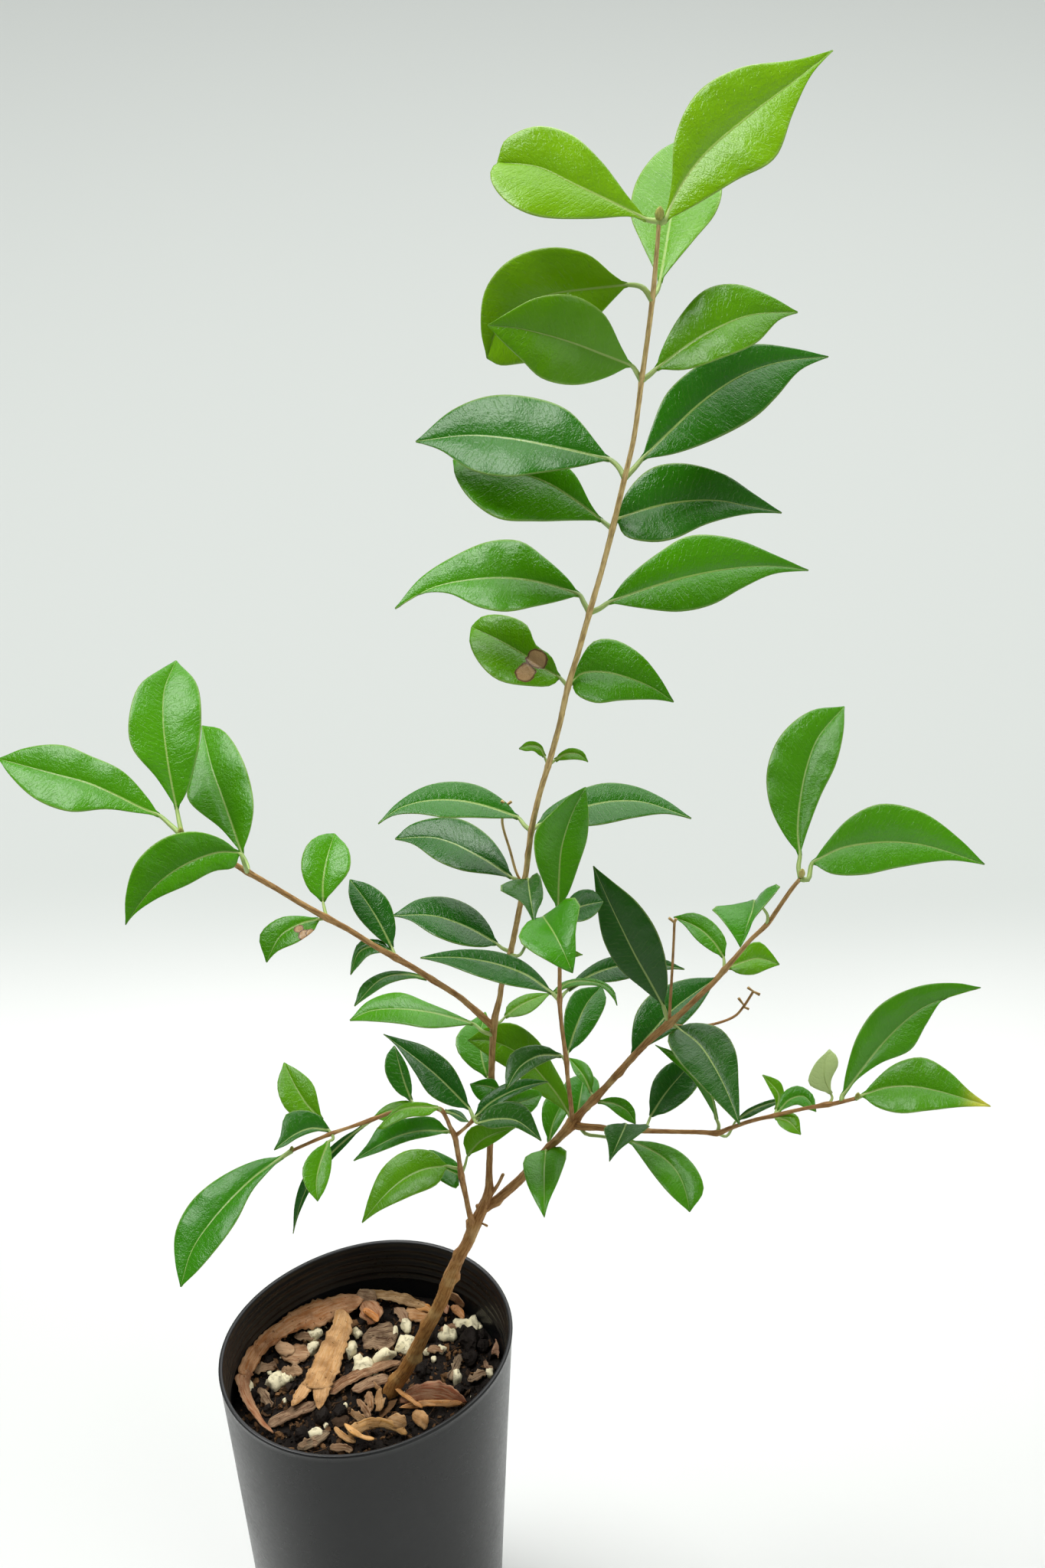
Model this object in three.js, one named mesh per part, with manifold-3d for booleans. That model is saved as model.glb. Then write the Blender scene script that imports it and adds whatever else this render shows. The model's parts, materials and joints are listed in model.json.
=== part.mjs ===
// Young cinnamon myrtle in a black nursery tube pot: millimetres, +Z up, the pot's base on z = 0.
import * as THREE from 'three';
import Module from 'manifold-3d';
import { mergeVertices } from 'three/addons/utils/BufferGeometryUtils.js';

const wasm = await Module();
wasm.setup();

// Pot: a tapered tube with a mouth pressed slightly oval.
const POT_HEIGHT = 120;
const RIM_RADIUS = 35;
const BASE_RADIUS = 32.8;
const WALL = 1;
const FLOOR = 1.4;
const OVALNESS = 0.087;
const OVAL_TURN = 35 * Math.PI / 180;
const OVAL_DEPTH = 100;
const DRAIN_HOLES = 6;
const DRAIN_DIAMETER = 7;
const DRAIN_RING_RADIUS = 24;
const POT_SIDES = 48;

// Potting mix and everything that rests on it.
const CLEARANCE = 0.3;
const MIX_LEVEL = 100.6;
const SEAT_LEVEL = 101.5;
const LITTER_THICKNESS = 0.8;
const SETTLE_FROM = 3;
const SETTLE_STEP = 0.1;

// Plant.
const STEM_SIDES = 6;
const LEAF_THICKNESS = 0.7;
const STALK_WIDTH = 1.1;
const BLADE_ROWS = 6;
const TIP_WIDTH = 0.7;
const FOLD = 0.16;
const MERGE = 0.02;
const WELD_ROUNDS = 4;

// The picture the plant was read from: eye point, pitch, focal length and middle in its pixels.
const EYE = new THREE.Vector3(39, -363, 551);
const PITCH = 35.5 * Math.PI / 180;
const FOCAL = 2844;
const MIDDLE = [682.5, 1024];

// Stems as read off the picture: x, y in pixels, depth behind the pot's axis in mm, width in pixels.
const STEMS = `
main_stem | 492,1865,0,25 512,1815,0,25 531,1787,0,22 556,1738,0,20 576,1700,0,20 588,1668,0,22
  600,1642,0,18 611,1622,0,18 620,1600,0,19 631,1577,0,17 638,1556,0,13 639,1530,1,10 640,1500,2,9.5
  643,1455,3,9.5 642,1410,4,9.5 643,1375,4,9.5 646,1332,4,11 653,1302,4,8.5 655,1287,4,8.5 667,1243,4,8.5
  676,1200,4,8.5 685,1152,4,9 690,1118,4,8.5 694,1085,4,9 704,1040,4,8.5 716,1000,4,9 730,950,4,8.5
  742,897,3,9 756,850,3,8.5 770,800,2,9 786,745,2,8 800,691,2,9 816,624,1,8 828,572,1,7.5 838,497,0,8
  846,440,0,7.5 852,392,0,8 857,340,0,7 861,286,0,6
left_branch | 643,1340,4,11 628,1326,3,11 612,1312,2,9.5 600,1302,1,9 580,1289,0,9 565,1280,-1,10
  545,1267,-2,8.5 517,1251,-3,10 490,1236,-4,8.5 455,1214,-5,8.5 427,1199,-6,10 395,1181,-7,8.5
  360,1160,-8,8.5 325,1140,-9,9 290,1119,-10,7 260,1104,-11,7 236,1090,-12,7
right_branch | 628,1582,0,14 645,1570,0,14 668,1551,-1,14 684,1536,-1,14 700,1517,-2,13 718,1498,-2,12
  735,1481,-3,13 748,1467,-3,19 757,1456,-3,12 766,1446,-4,11 776,1436,-4,13 792,1419,-4,10 810,1399,-5,11
  830,1377,-5,10 850,1357,-6,10.5 874,1337,-6,13 888,1325,-7,9 912,1302,-8,8.5 933,1282,-9,8 946,1267,-9,9
  961,1250,-10,7.5 980,1228,-10,6.5 1002,1207,-11,7.5 1021,1180,-12,6.5 1035,1160,-12,6.5 1046,1147,-13,6
right_lower_branch | 750,1470,-3,12 765,1472,-6,11 785,1473,-8,10 800,1475,-9,7.5 840,1477,-11,7.5
  880,1478,-13,6.5 920,1479,-15,7 937,1480,-16,9 955,1473,-17,6.5 985,1463,-18,6 1012,1457,-19,6.5
  1050,1448,-21,5.5 1082,1443,-22,7 1100,1439,-23,6 1117,1435,-24,5.5
centre_twig | 747,1464,-3,8 746,1445,-6,7 743,1420,-8,7 741,1402,-9,6.5 740,1386,-10,8 737,1365,-11,6.5
  733,1335,-12,6 731,1305,-13,7.5 731,1285,-13,6 731,1262,-12,6 730,1235,-11,5 728,1198,-8,4.5
left_lower_branch | 618,1600,0,12 612,1580,-3,8 608,1560,-4,8 603,1538,-5,10 600,1518,-6,7 597,1500,-7,8
  594,1484,-8,9 588,1472,-9,6.5 583,1460,-10,6 575,1449,-11,7 560,1447,-11,5 545,1448,-12,5 515,1452,-13,5
  484,1463,-14,7 455,1473,-15,5 432,1481,-16,6 408,1491,-17,5 381,1503,-18,5
`;
// Shorter shoots fused into the stem of the same name.
const SIDE_SHOOTS = `
left_lower_branch | 594,1484,-8,7 603,1477,-9,5 611,1470,-10,5.5 619,1462,-11,7
main_stem | 684,1155,4,4 676,1143,5,4 666,1110,7,4 656,1072,9,4 661,1050,10,4
right_branch | 874,1337,-6,5 876,1300,-5,4.5 879,1250,-4,4 881,1205,-3,4
right_branch | 874,1338,-6,5 900,1341,-6,4 935,1337,-5,4 960,1327,-4,4 971,1315,-4,4 984,1295,-4,4
main_stem | 641,1560,0,8 650,1548,-1,5 657,1534,-2,5
`;
// Leaves under the name of the stem they grow on: name | lean, the reach gained per pixel up the picture |
// mm behind the stem | stalk | midrib from base to tip | one edge | the other edge. A third number of a point
// is its reach in mm beyond the stem's.
const LEAVES = `
main_stem
top_right | .25 | 0 | 863,290 | 868,289 890,242 922,200 980,150 1038,106 1088,66 | 877,240 882,178 911,121
  965,89 1040,78 | 905,270 961,236 1012,207 1036,148 1060,98
top_left | .4 | 0 | 859,289 | 845,287 795,262 749,240 705,219 650,212 | 822,259 784,209 745,175 700,165
  659,184 652,203 | 822,283 770,286 699,282 661,263 642,238 641,222
top_behind | .9 | 2 | 857,388 859,378 | 862,368 872,310 884,240 893,180 | 850,343 836,313 824,282 830,240
  858,200 | 878,348 907,313 936,276 943,240 922,200
upper_round_left | -.1 | 0 | 852,392 840,376 | 820,372,2 772,377,4 726,383,6 685,396,8 655,418,9
  636,468,10 | 800,358 768,332 718,323 665,340 634,378 628,430 | 799,394 775,420 745,450 710,470 680,475
  652,477
upper_front_left | -.3 | 0 | 838,497 832,487 | 824,477,-5 788,463,-8 749,448,-11 705,435,-13 672,428,-14
  637,425,-15 | 811,452 788,409 749,386 703,388 665,407 | 790,494 749,503 707,494 680,469 655,445
upper_right | .5 | 0 | 838,497 848,490 | 857,482 903,448 934,430 980,412 1042,408 | 863,460 888,413
  922,378 960,371 1005,386 | 895,483 942,468 988,448 1018,418
second_right | .45 | 0 | 816,624 828,612 | 838,600 876,563 922,521 972,489 1020,473 1082,466 | 851,559
  872,512 922,471 980,450 1038,455 | 884,592 940,571 988,544 1015,518 1045,484
second_left | .55 | 0 | 816,624 807,609 | 796,600 749,589 711,581 665,573 610,569 543,577 | 784,584
  742,536 695,519 640,517 590,536 | 760,609 711,617 660,623 615,614 575,588
third_left | .5 | 4 | 800,691 | 786,680 749,652 711,629 655,612 592,601 | 772,659 745,613 700,596 640,592
  | 750,680 700,681 650,677 612,650 594,620
third_right | .5 | 0 | 800,691 | 806,679 835,668 880,657 935,654 980,662 1021,670 | 818,644 850,612
  890,605 945,619 985,645 | 815,699 850,708 880,704 925,684 980,671
fourth_left | .55 | 0 | 770,800 763,788 | 757,777 725,766 690,758 655,755 610,758 565,768 516,795 |
  743,757 710,727 680,707 640,707 590,728 548,756 | 735,784 700,792 660,799 625,793 585,775 548,776
fourth_right | .5 | 0 | 770,800 783,795 | 795,787 845,769 900,753 963,742 1013,740 1056,745 | 817,757
  863,720 900,700 957,703 1013,725 | 835,794 887,799 930,790 970,768 1010,750
spotted_left | .5 | 0 | 742,897 | 731,885 708,872 687,857 655,838 616,819 | 720,857 700,842 688,816
  655,803 628,806 | 722,895 690,896 650,888 625,865 613,838
fifth_right | .5 | 0 | 742,897 | 747,892 760,880 790,878 825,887 855,900 880,917 | 757,863 775,838 800,835
  835,853 862,885 | 752,906 777,918 810,915 855,914
tiny_left | .5 | 0 | 716,1000 | 711,988 705,977 692,974 678,978 | 709,976 700,969 688,969 | 705,987
  697,981 686,981
tiny_right | .5 | 0 | 716,1000 | 725,993 740,985 755,985 768,995 | 730,985 745,977 762,982 | 735,993
  750,992 760,993
sixth_left | .9 | 0 | 694,1085 686,1079 | 677,1068 647,1057 613,1048 580,1045 547,1048 520,1057 494,1076 |
  662,1049 630,1028 597,1021 558,1026 520,1048 | 650,1069 613,1068 580,1068 545,1063 515,1065
sixth_right | .9 | 3 | 694,1085 | 703,1078 735,1062 767,1053 800,1047 840,1048 903,1069 | 710,1062
  745,1038 787,1023 830,1027 870,1045 | 735,1080 780,1078 830,1068 870,1063
seventh_left | .8 | 0 | 685,1152 | 668,1146 640,1127 613,1112 590,1101 563,1094 516,1096 | 660,1122
  638,1092 605,1071 570,1068 535,1078 | 640,1142 603,1137 570,1124 540,1103
eighth_left | .9 | 0 | 667,1243 657,1239 | 649,1233 620,1216 590,1203 563,1196 513,1196 | 640,1210
  620,1187 585,1172 545,1175 | 635,1237 600,1234 565,1221 535,1202
ninth_left | .95 | 0 | 645,1352 632,1348,-2 | 618,1337 590,1329 560,1322 517,1318 483,1321 457,1333 |
  600,1327 560,1310 520,1296 480,1308 | 600,1340 560,1343 520,1337 483,1334
ninth_small_right | .9 | 2 | 646,1336 653,1335 | 660,1328 677,1315 695,1306 718,1298 | 662,1314 683,1300
  702,1297 | 675,1328 692,1323 706,1312
behind_round | .7 | 4 | 642,1412 | 637,1407 630,1385 627,1355 634,1322 | 615,1394 597,1372 596,1354
  612,1336 | 645,1396 648,1370 645,1345
inner_green | .2 | -4 | 643,1432 | 655,1425 638,1419 614,1416 | 645,1409 630,1410 | 645,1440 628,1438
  618,1427
seventh_front | .6 | 0 | 685,1152 | 690,1148,-4 692,1168,-9 695,1188,-12 698,1208,-15 | 668,1150 651,1160
  664,1169 681,1178 692,1195 | 703,1140 709,1160 709,1175 702,1190
eighth_front | .6 | 0 | 667,1247 678,1248,-5 690,1228,-14 | 709,1197,-24 722,1216,-29 735,1241,-33
  748,1271,-35 | 690,1203 677,1226 690,1240 715,1255 735,1266 | 725,1186 745,1171 757,1178 752,1215
  752,1250
centre_twig
twig_bud_leaf | .6 | 0 | 731,1252 | 735,1250 747,1246 761,1247 | 747,1241 | 748,1251
twig_front_up | -.05 | 0 | 728,1198 | 729,1187 730,1150 733,1110 741,1080 752,1052 765,1028 | 713,1160
  699,1120 700,1085 725,1057 750,1035 | 741,1170 756,1130 767,1095 769,1065 767,1045
twig_back_right | 1 | 2 | 728,1199 | 738,1197 755,1186 772,1181 788,1178 | 744,1173 757,1163 775,1163 |
  752,1204 768,1201 781,1191
twig_long_left | .9 | 0 | 731,1307 | 721,1297 690,1275 661,1263 634,1256 600,1251 549,1251 | 708,1277
  683,1255 650,1243 605,1240 570,1245 | 700,1293 660,1286 620,1274 580,1259
twig_long_right | .9 | 8 | 731,1305 | 742,1293 770,1275 800,1264 840,1258 894,1266 | 753,1277 785,1254
  820,1247 865,1252 | 765,1285 804,1282 845,1272 877,1266
twig_curl_right | 1 | 8 | 731,1303 | 724,1297 745,1283 775,1283 797,1292 806,1313 | 730,1286 755,1278
  785,1281 802,1294 | 735,1292 760,1287 785,1289 800,1303
twig_up_right | .6 | 2 | 740,1386 | 742,1374 753,1340 767,1310 786,1288 | 737,1350 738,1320 752,1294 |
  760,1362 782,1332 792,1305
twig_folded_left | .7 | 0 | 740,1388 | 733,1379 705,1379 680,1393 661,1423 | 715,1367 688,1366 666,1378
  660,1402 | 720,1384 698,1395 676,1411
right_branch
fork_long_left | .1 | 0 | 748,1466 | 743,1455 728,1430 712,1410 692,1388 664,1368 637,1359 611,1359 |
  742,1430 725,1395 700,1356 668,1336 632,1343 | 725,1442 695,1423 668,1399 640,1381 620,1366
fork_behind | .7 | 3 | 750,1466 | 753,1460 757,1438 763,1404 | 738,1440 735,1420 745,1408 | 770,1450
  783,1425 779,1408
fork_small_left | .6 | 0 | 776,1436 | 772,1427 762,1405 743,1382 | 762,1415 750,1401 | 776,1410 768,1391
  756,1384
fork_small_right | .6 | 0 | 776,1436 | 781,1439 803,1442 820,1452 830,1468 | 797,1433 817,1436 829,1450 |
  793,1445 808,1457 821,1465
branch_behind | .7 | 3 | 826,1381 | 826,1377 850,1350 880,1318 936,1277 | 825,1355 831,1323 852,1297
  895,1279 | 850,1364 885,1344 910,1320 925,1298
big_front_up | -.4 | 0 | 874,1337 870,1326 | 866,1313 848,1280 831,1250 812,1212 794,1174 775,1131 |
  840,1292 808,1264 788,1228 780,1185 777,1155 | 872,1290 869,1250 856,1212 832,1178 800,1151
big_front_down | .8 | 0 | 874,1337 | 884,1342 912,1363 931,1390 949,1425 966,1469 | 872,1355 882,1380
  910,1412 945,1448 | 905,1336 940,1343 960,1370 965,1420
branch_folded | .5 | 0 | 946,1267 | 945,1250 932,1230 912,1212 880,1198 | 930,1243 910,1228 893,1208 |
  949,1230 930,1203 905,1192
branch_short_right | .6 | 0 | 946,1267 | 951,1264 970,1257 990,1252 1018,1260 | 960,1252 975,1235 992,1230
  1008,1245 | 965,1272 985,1273 1000,1267
branch_front | .6 | 0 | 1002,1207 1002,1194,-3 | 986,1176,-6 983,1190,-10 976,1210,-14 967,1237,-18 |
  955,1182 929,1186 940,1198 955,1218 | 1002,1160 1021,1154 1003,1178 986,1198 976,1222
end_up | .5 | 0 | 1046,1146 1043,1133 | 1045,1117 1042,1085 1046,1040 1055,998 1069,963 1103,923 |
  1025,1092 1005,1050 1002,1005 1020,960 1060,928 | 1055,1085 1072,1040 1092,998 1102,955
end_right | .5 | 0 | 1046,1148 1055,1149 | 1061,1127 1096,1109 1131,1102 1167,1100 1210,1105 1286,1129 |
  1080,1100 1110,1068 1150,1050 1205,1061 1255,1097 | 1085,1141 1125,1143 1175,1133 1240,1124
branch_hanging | .9 | 0 | 718,1498 | 713,1503 711,1530 711,1560 711,1590 | 697,1505 684,1514 687,1542
  700,1571 | 728,1497 740,1503 731,1538 717,1570
branch_upright | .6 | 3 | 718,1498 | 717,1492 722,1468 735,1438 | 708,1465 710,1440 722,1425 | 733,1468
  742,1448
right_lower_branch
low_big_down | .7 | 0 | 757,1471 765,1481 784,1484 | 821,1490 842,1498 866,1512 883,1529 894,1552 901,1583
  | 856,1492 888,1504 912,1530 919,1556 | 833,1506 853,1534 873,1558 890,1574
low_folded_front | .6 | 0 | 800,1475 806,1472,-2 | 818,1468,-5 812,1482,-8 796,1517,-14 | 800,1468
  789,1473 794,1495 | 835,1469 850,1469 830,1486 808,1503
low_up | .6 | 2 | 842,1477 846,1468 | 850,1458 868,1430 888,1406 905,1388 | 848,1438 855,1408 878,1387 |
  872,1453 903,1430 914,1410
low_edge_on | .15 | 0 | 937,1480 939,1470 | 936,1462 929,1430 912,1405 890,1385 872,1373 856,1365 |
  934,1440 915,1404 885,1376 | 927,1446 904,1410 876,1384
low_thin_right | .5 | 2 | 937,1481 949,1484 | 962,1463 985,1449 1010,1440 1030,1436 | 973,1451 995,1440
  1015,1435 | 975,1461 998,1450 1018,1441
low_small_below | .7 | 0 | 1012,1457 | 1013,1460 1030,1465 1046,1482 | 1026,1452 1042,1458 | 1018,1470
  1032,1479
low_small_up | .5 | 2 | 1012,1457 | 1014,1449 1017,1430 996,1404 | 1024,1437 1020,1414 1008,1407 |
  1012,1436 1003,1418
low_curled | .6 | 0 | 1012,1457 | 1017,1452 1032,1436 1050,1432 1066,1452 | 1022,1428 1042,1418 1062,1430
  | 1028,1447 1042,1443 1055,1449
low_pale | .2 | 0 | 1082,1443 1087,1434 | 1085,1428 1077,1410 1076,1392 1083,1371 | 1070,1424 1056,1415
  1064,1390 | 1086,1410 1095,1390 1092,1378
low_end_up | .4 | 0 | 1100,1439 | 1100,1432 1124,1399 1153,1363 1181,1335 1210,1314 1281,1290 | 1105,1400
  1121,1350 1150,1312 1200,1288 1250,1284 | 1119,1411 1150,1389 1190,1371 1210,1338 1235,1303
low_end_right | .5 | 0 | 1117,1435 | 1126,1431 1156,1421 1189,1419 1224,1425 1260,1435 1294,1445 |
  1139,1415 1168,1390 1205,1381 1238,1398 1268,1426 | 1143,1445 1174,1454 1210,1451 1255,1446
left_lower_branch
low_left_up | .5 | 3 | 432,1481 427,1472 | 421,1463 402,1444 387,1421 371,1388 | 400,1464 374,1450
  362,1418 | 417,1445 409,1416 390,1398
low_left_folded | .7 | 0 | 432,1481 | 429,1476 405,1474 385,1482 358,1502 | 421,1460 398,1450 373,1456
  366,1485 | 412,1478 390,1486 372,1497
low_left_end | .6 | 0 | 381,1503 | 369,1511 335,1535 305,1563 275,1597 251,1633 236,1681 | 340,1514
  290,1536 250,1569 229,1610 229,1650 | 352,1529 330,1555 306,1600 262,1656
low_left_hanging | .6 | 0 | 434,1481 435,1488 | 429,1491 418,1520 413,1545 415,1569 | 408,1504 395,1527
  400,1552 | 433,1505 432,1530 424,1555
low_left_edge_on | -.1 | 2 | 484,1463 | 474,1471 450,1490 425,1515 404,1545 391,1577 383,1611 | 449,1484
  421,1508 396,1538 385,1572 | 454,1494 431,1518 409,1548 391,1585
low_left_behind | .8 | 3 | 546,1448 | 545,1446 515,1449 488,1460 | 535,1438 510,1441 496,1450 | 530,1460
  508,1465
low_left_upright | .5 | 2 | 546,1448 | 537,1437 527,1410 515,1366 | 519,1427 503,1400 505,1378 | 538,1418
  532,1393 522,1375
low_left_thin | .8 | 2 | 576,1450 | 581,1451 596,1456 612,1465 | 590,1449 603,1453 | 590,1457 602,1465
low_left_inner | .6 | -3 | 576,1450 | 572,1447 545,1446 520,1451 493,1474 | 560,1441 535,1440 517,1447
  503,1462 | 560,1457 535,1459 515,1467 500,1475
low_left_broad | .7 | 0 | 591,1479 | 585,1478 553,1477 523,1483 493,1497 462,1516 | 568,1460 530,1461
  498,1468 480,1494 | 568,1483 535,1490 495,1505
low_left_bright | .6 | 0 | 600,1527 592,1525 | 584,1523 555,1527 529,1539 502,1562 473,1597 | 565,1504
  530,1503 500,1525 482,1563 | 572,1546 535,1563 495,1582
low_left_under | .8 | 3 | 603,1536 | 599,1535 578,1525 556,1512 | 598,1520 580,1508 560,1502 | 598,1552
  580,1545 562,1530
twiglet_big_left | .5 | 0 | 619,1462 | 613,1448 590,1424 566,1401 535,1376 501,1351 | 590,1445 561,1430
  541,1400 518,1367 | 607,1424 588,1389 555,1366 525,1357
twiglet_bright_right | .1 | 0 | 603,1535 608,1520 | 611,1509 628,1490 648,1480 673,1473 | 605,1490
  616,1472 645,1468 | 630,1501 650,1490
twiglet_grey_right | .7 | -3 | 619,1462 | 624,1467 645,1462 672,1463 690,1474 707,1490 | 636,1448 665,1438
  688,1446 701,1472 | 640,1474 670,1472 692,1482
twiglet_dark_right | .6 | 0 | 619,1461 | 622,1458 640,1441 665,1427 690,1418 716,1413 | 626,1440 650,1420
  685,1409 | 638,1452 662,1437 692,1422
twiglet_small_right | .6 | 1 | 619,1462 | 626,1461 650,1450 680,1440 708,1430 | 650,1437 680,1424 700,1423
  | 650,1464 680,1461 700,1447
left_branch
far_left | .5 | 0 | 236,1090 222,1077 | 208,1065 180,1053 150,1038 115,1023 67,1010 -2,991 | 193,1042
  160,1007 120,988 80,973 33,977 | 180,1062 140,1057 90,1060 45,1043 12,1012
far_left_up | .4 | 0 | 238,1091 234,1073 | 231,1057 223,1018 217,980 213,940 215,900 230,863 | 205,1017
  172,976 168,940 182,895 212,873 | 243,1037 257,990 263,945 257,893
left_up | .55 | 3 | 325,1139 322,1127 | 316,1115 303,1077 290,1040 277,1003 264,948 | 290,1084 245,1043
  250,1010 262,968 | 328,1080 331,1045 316,990 290,953
left_drooping | 0 | -7 | 323,1138 318,1126 | 313,1114 287,1113 260,1121 233,1134 207,1153 185,1177
  164,1208 | 290,1096 255,1086 215,1094 178,1126 164,1170 | 306,1133 280,1138 245,1156 205,1174 177,1193
left_round_up | .5 | 0 | 427,1199 424,1188 | 422,1178 422,1150 428,1118 437,1089 | 403,1162 393,1130
  402,1102 420,1090 | 439,1160 457,1135 455,1108
left_lesion | .6 | 0 | 427,1199 | 416,1201 392,1207 367,1222 348,1257 | 400,1197 365,1199 339,1222 |
  412,1213 390,1230 362,1243
left_dark_up | .5 | 0 | 517,1251 | 512,1238 497,1208 480,1180 457,1149 | 490,1222 463,1191 455,1165 |
  517,1212 506,1174 480,1154
left_folded | .7 | 0 | 515,1250 | 510,1243 490,1236 470,1243 458,1273 | 500,1229 470,1230 460,1252 |
  500,1244 482,1248 468,1262
left_arching | 1 | 0 | 565,1280 | 558,1278 530,1273 500,1278 463,1314 | 540,1271 505,1269 473,1286 |
  535,1278 508,1285 482,1301
`;
// Litter, lowest first: two edges of each flat piece, x, y in pixels and height in mm above the pot's base.
const LITTER = `
stick | #4a3526 | 354,1868,102.8 380,1854,103 416,1839,102.8 | 347,1857,102.8 372,1842,103 409,1828,102.8
brown_strip | #6b4a30 | 522,1774,102.8 476,1793,103 433,1823,102.8 | 514,1764,102.8 466,1782,103
  424,1814,102.8
brown_flake | #7d5a3c | 366,1762,102.6 385,1756,103 408,1759,102.6 | 366,1776,102.4 388,1781,102.8
  404,1776,102.4
dark_bark_chip | #3a2a20 | 478,1740,103 500,1736,103.6 519,1741,103 | 476,1756,102.4 498,1761,102.6
  518,1758,102.4
ochre_leaf | #94682f | 533,1707,103 552,1706,104 569,1711,103.2 | 531,1726,102.6 550,1727,103
  571,1724,102.8
leaf_tongue | #8a5a30 | 589,1690,108 604,1691,108 609,1701,107 | 588,1700,105 596,1710,104.4
  607,1718,104.4
front_dark_chip | #2e241e | 387,1888,102.6 408,1877,103 428,1866,102.6 | 390,1897,102.4 412,1889,102.6
  432,1876,102.4
ochre_twig | #a07a45 | 439,1862,102.6 452,1873,102.8 466,1880,102.6 | 435,1868,102.6 447,1880,102.8
  463,1887,102.6
leaf_scrap | #b08c5c | 541,1843,103.4 560,1849,103.4 | 542,1858,102.6 557,1862,102.6
red_bark_chip | #7a4636 | 645,1760,103.2 652,1749,104 653,1762,103.2 | 642,1768,102.6 649,1764,102.8
  650,1772,102.6
gum_leaf_strip | #8a6242 | 545,1699,104 515,1690,104.6 460,1690,105 400,1705,105.6 345,1727,106
  320,1750,106.5 310,1782,106.5 313,1812,106 322,1838,105 345,1868,103.6 | 535,1706,103 510,1703,103
  462,1705,103.2 420,1737,103.2 370,1749,103.4 340,1764,103.4 326,1790,103.4 324,1812,103.2 334,1838,103
  349,1864,102.8
tan_bark_strip | #a87c52 | 452,1706,106.6 462,1730,105 452,1757,104.4 445,1785,104.2 432,1813,104.3
  418,1840,104.5 | 440,1712,106.4 430,1742,104.8 416,1768,104.2 408,1792,104 393,1815,104.2 381,1838,104.5
curled_brown_leaf | #5c3a20 | 484,1686,107 498,1708,106.4 497,1722,105.2 481,1735,103.4 | 466,1687,106.8
  464,1701,106 468,1715,105.2 474,1730,103.4
red_brown_leaf | #9a5c3c | 533,1812,104.4 552,1807,106 585,1809,106.4 608,1829,104 | 526,1837,102.7
  550,1834,103.2 578,1836,103.2 603,1840,102.8
front_curled_leaf | #a8834f | 458,1858,103.4 482,1852,104.6 510,1852,104.8 540,1866,103 | 462,1876,102.6
  484,1868,103 508,1866,103 534,1876,102.6
`;

// Lumps that stand out of the mix, pale perlite and dark bark alike: x, y, width, height in pixels.
const LUMPS = `410,1746,18,10 458,1767,16,18 472,1789,22,16 503,1777,26,12 492,1808,10,12 530,1738,14,18
  540,1758,18,14 584,1745,22,16 605,1733,22,10 625,1729,16,16 577,1763,10,9 594,1796,16,26 638,1790,12,8
  411,1858,16,10 362,1803,20,14 383,1797,8,8 615,1752,24,20 566,1776,8,8 444,1845,16,14 500,1832,14,12
  350,1778,14,10 388,1737,12,8 615,1775,18,14 550,1790,16,12`;

// The sight line through a pixel, scaled to one unit of reach.
function sight(px, py) {
  const across = (px - MIDDLE[0]) / FOCAL;
  const up = (MIDDLE[1] - py) / FOCAL;
  const level = Math.cos(PITCH) + up * Math.sin(PITCH);
  const rise = up * Math.cos(PITCH) - Math.sin(PITCH);
  return new THREE.Vector3(across, level, rise);
}

function pointAt(px, py, reach) {
  return EYE.clone().addScaledVector(sight(px, py), reach);
}

function reachOfDepth(px, py, depth) {
  return (depth - EYE.y) / sight(px, py).y;
}

function onLevel(px, py, height) {
  return pointAt(px, py, (height - EYE.z) / sight(px, py).z);
}

function readPoints(text) {
  return text.trim().split(/\s+/).map((word) => word.split(',').map(Number));
}

// Joins the wrapped lines of a table and splits them into cells.
function readRows(text) {
  const lines = text.trim().replace(/\n {2}/g, ' ').split('\n');
  return lines.map((line) => line.split('|').map((cell) => cell.trim()));
}

function smooth(points, count) {
  const vectors = points.map((p) => new THREE.Vector3(p[0], p[1], p[2] || 0));
  return new THREE.CatmullRomCurve3(vectors, false, 'centripetal').getSpacedPoints(count);
}

// Closes a stack of equal rings into one body: strips between rings and a cap on each end.
function solid(rings, quadTurns, caps) {
  const size = rings[0].length;
  const positions = [];
  const faces = [];
  rings.forEach((ring) => ring.forEach((p) => positions.push(p.x, p.y, p.z)));
  for (let row = 0; row + 1 < rings.length; row += 1) {
    for (let i = 0; i < size; i += 1) {
      const a = row * size + i;
      const b = row * size + (i + 1) % size;
      const c = b + size;
      const d = a + size;
      if (quadTurns[i]) {
        faces.push(a, b, d, b, c, d);
      } else {
        faces.push(a, b, c, a, c, d);
      }
    }
  }
  const last = (rings.length - 1) * size;
  caps.forEach(([a, b, c]) => {
    faces.push(a, c, b);
    faces.push(last + a, last + b, last + c);
  });
  return toManifold(positions, faces);
}

function toManifold(positions, faces) {
  const mesh = new wasm.Mesh({
    numProp: 3,
    vertProperties: new Float32Array(positions),
    triVerts: new Uint32Array(faces),
  });
  return new wasm.Manifold(mesh);
}

function fromGeometry(geometry) {
  geometry.deleteAttribute('normal');
  geometry.deleteAttribute('uv');
  const merged = mergeVertices(geometry, 1e-3);
  return toManifold(merged.attributes.position.array, merged.index.array);
}

function fuse(bodies) {
  return bodies.reduce((whole, body) => whole.add(body));
}

// The largest connected shell of a body: it leaves out crumbs and closed pockets between fused parts.
function mainShell(body) {
  const shells = body.decompose();
  return shells.reduce((best, shell) => (shell.volume() > best.volume() ? shell : best));
}

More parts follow.
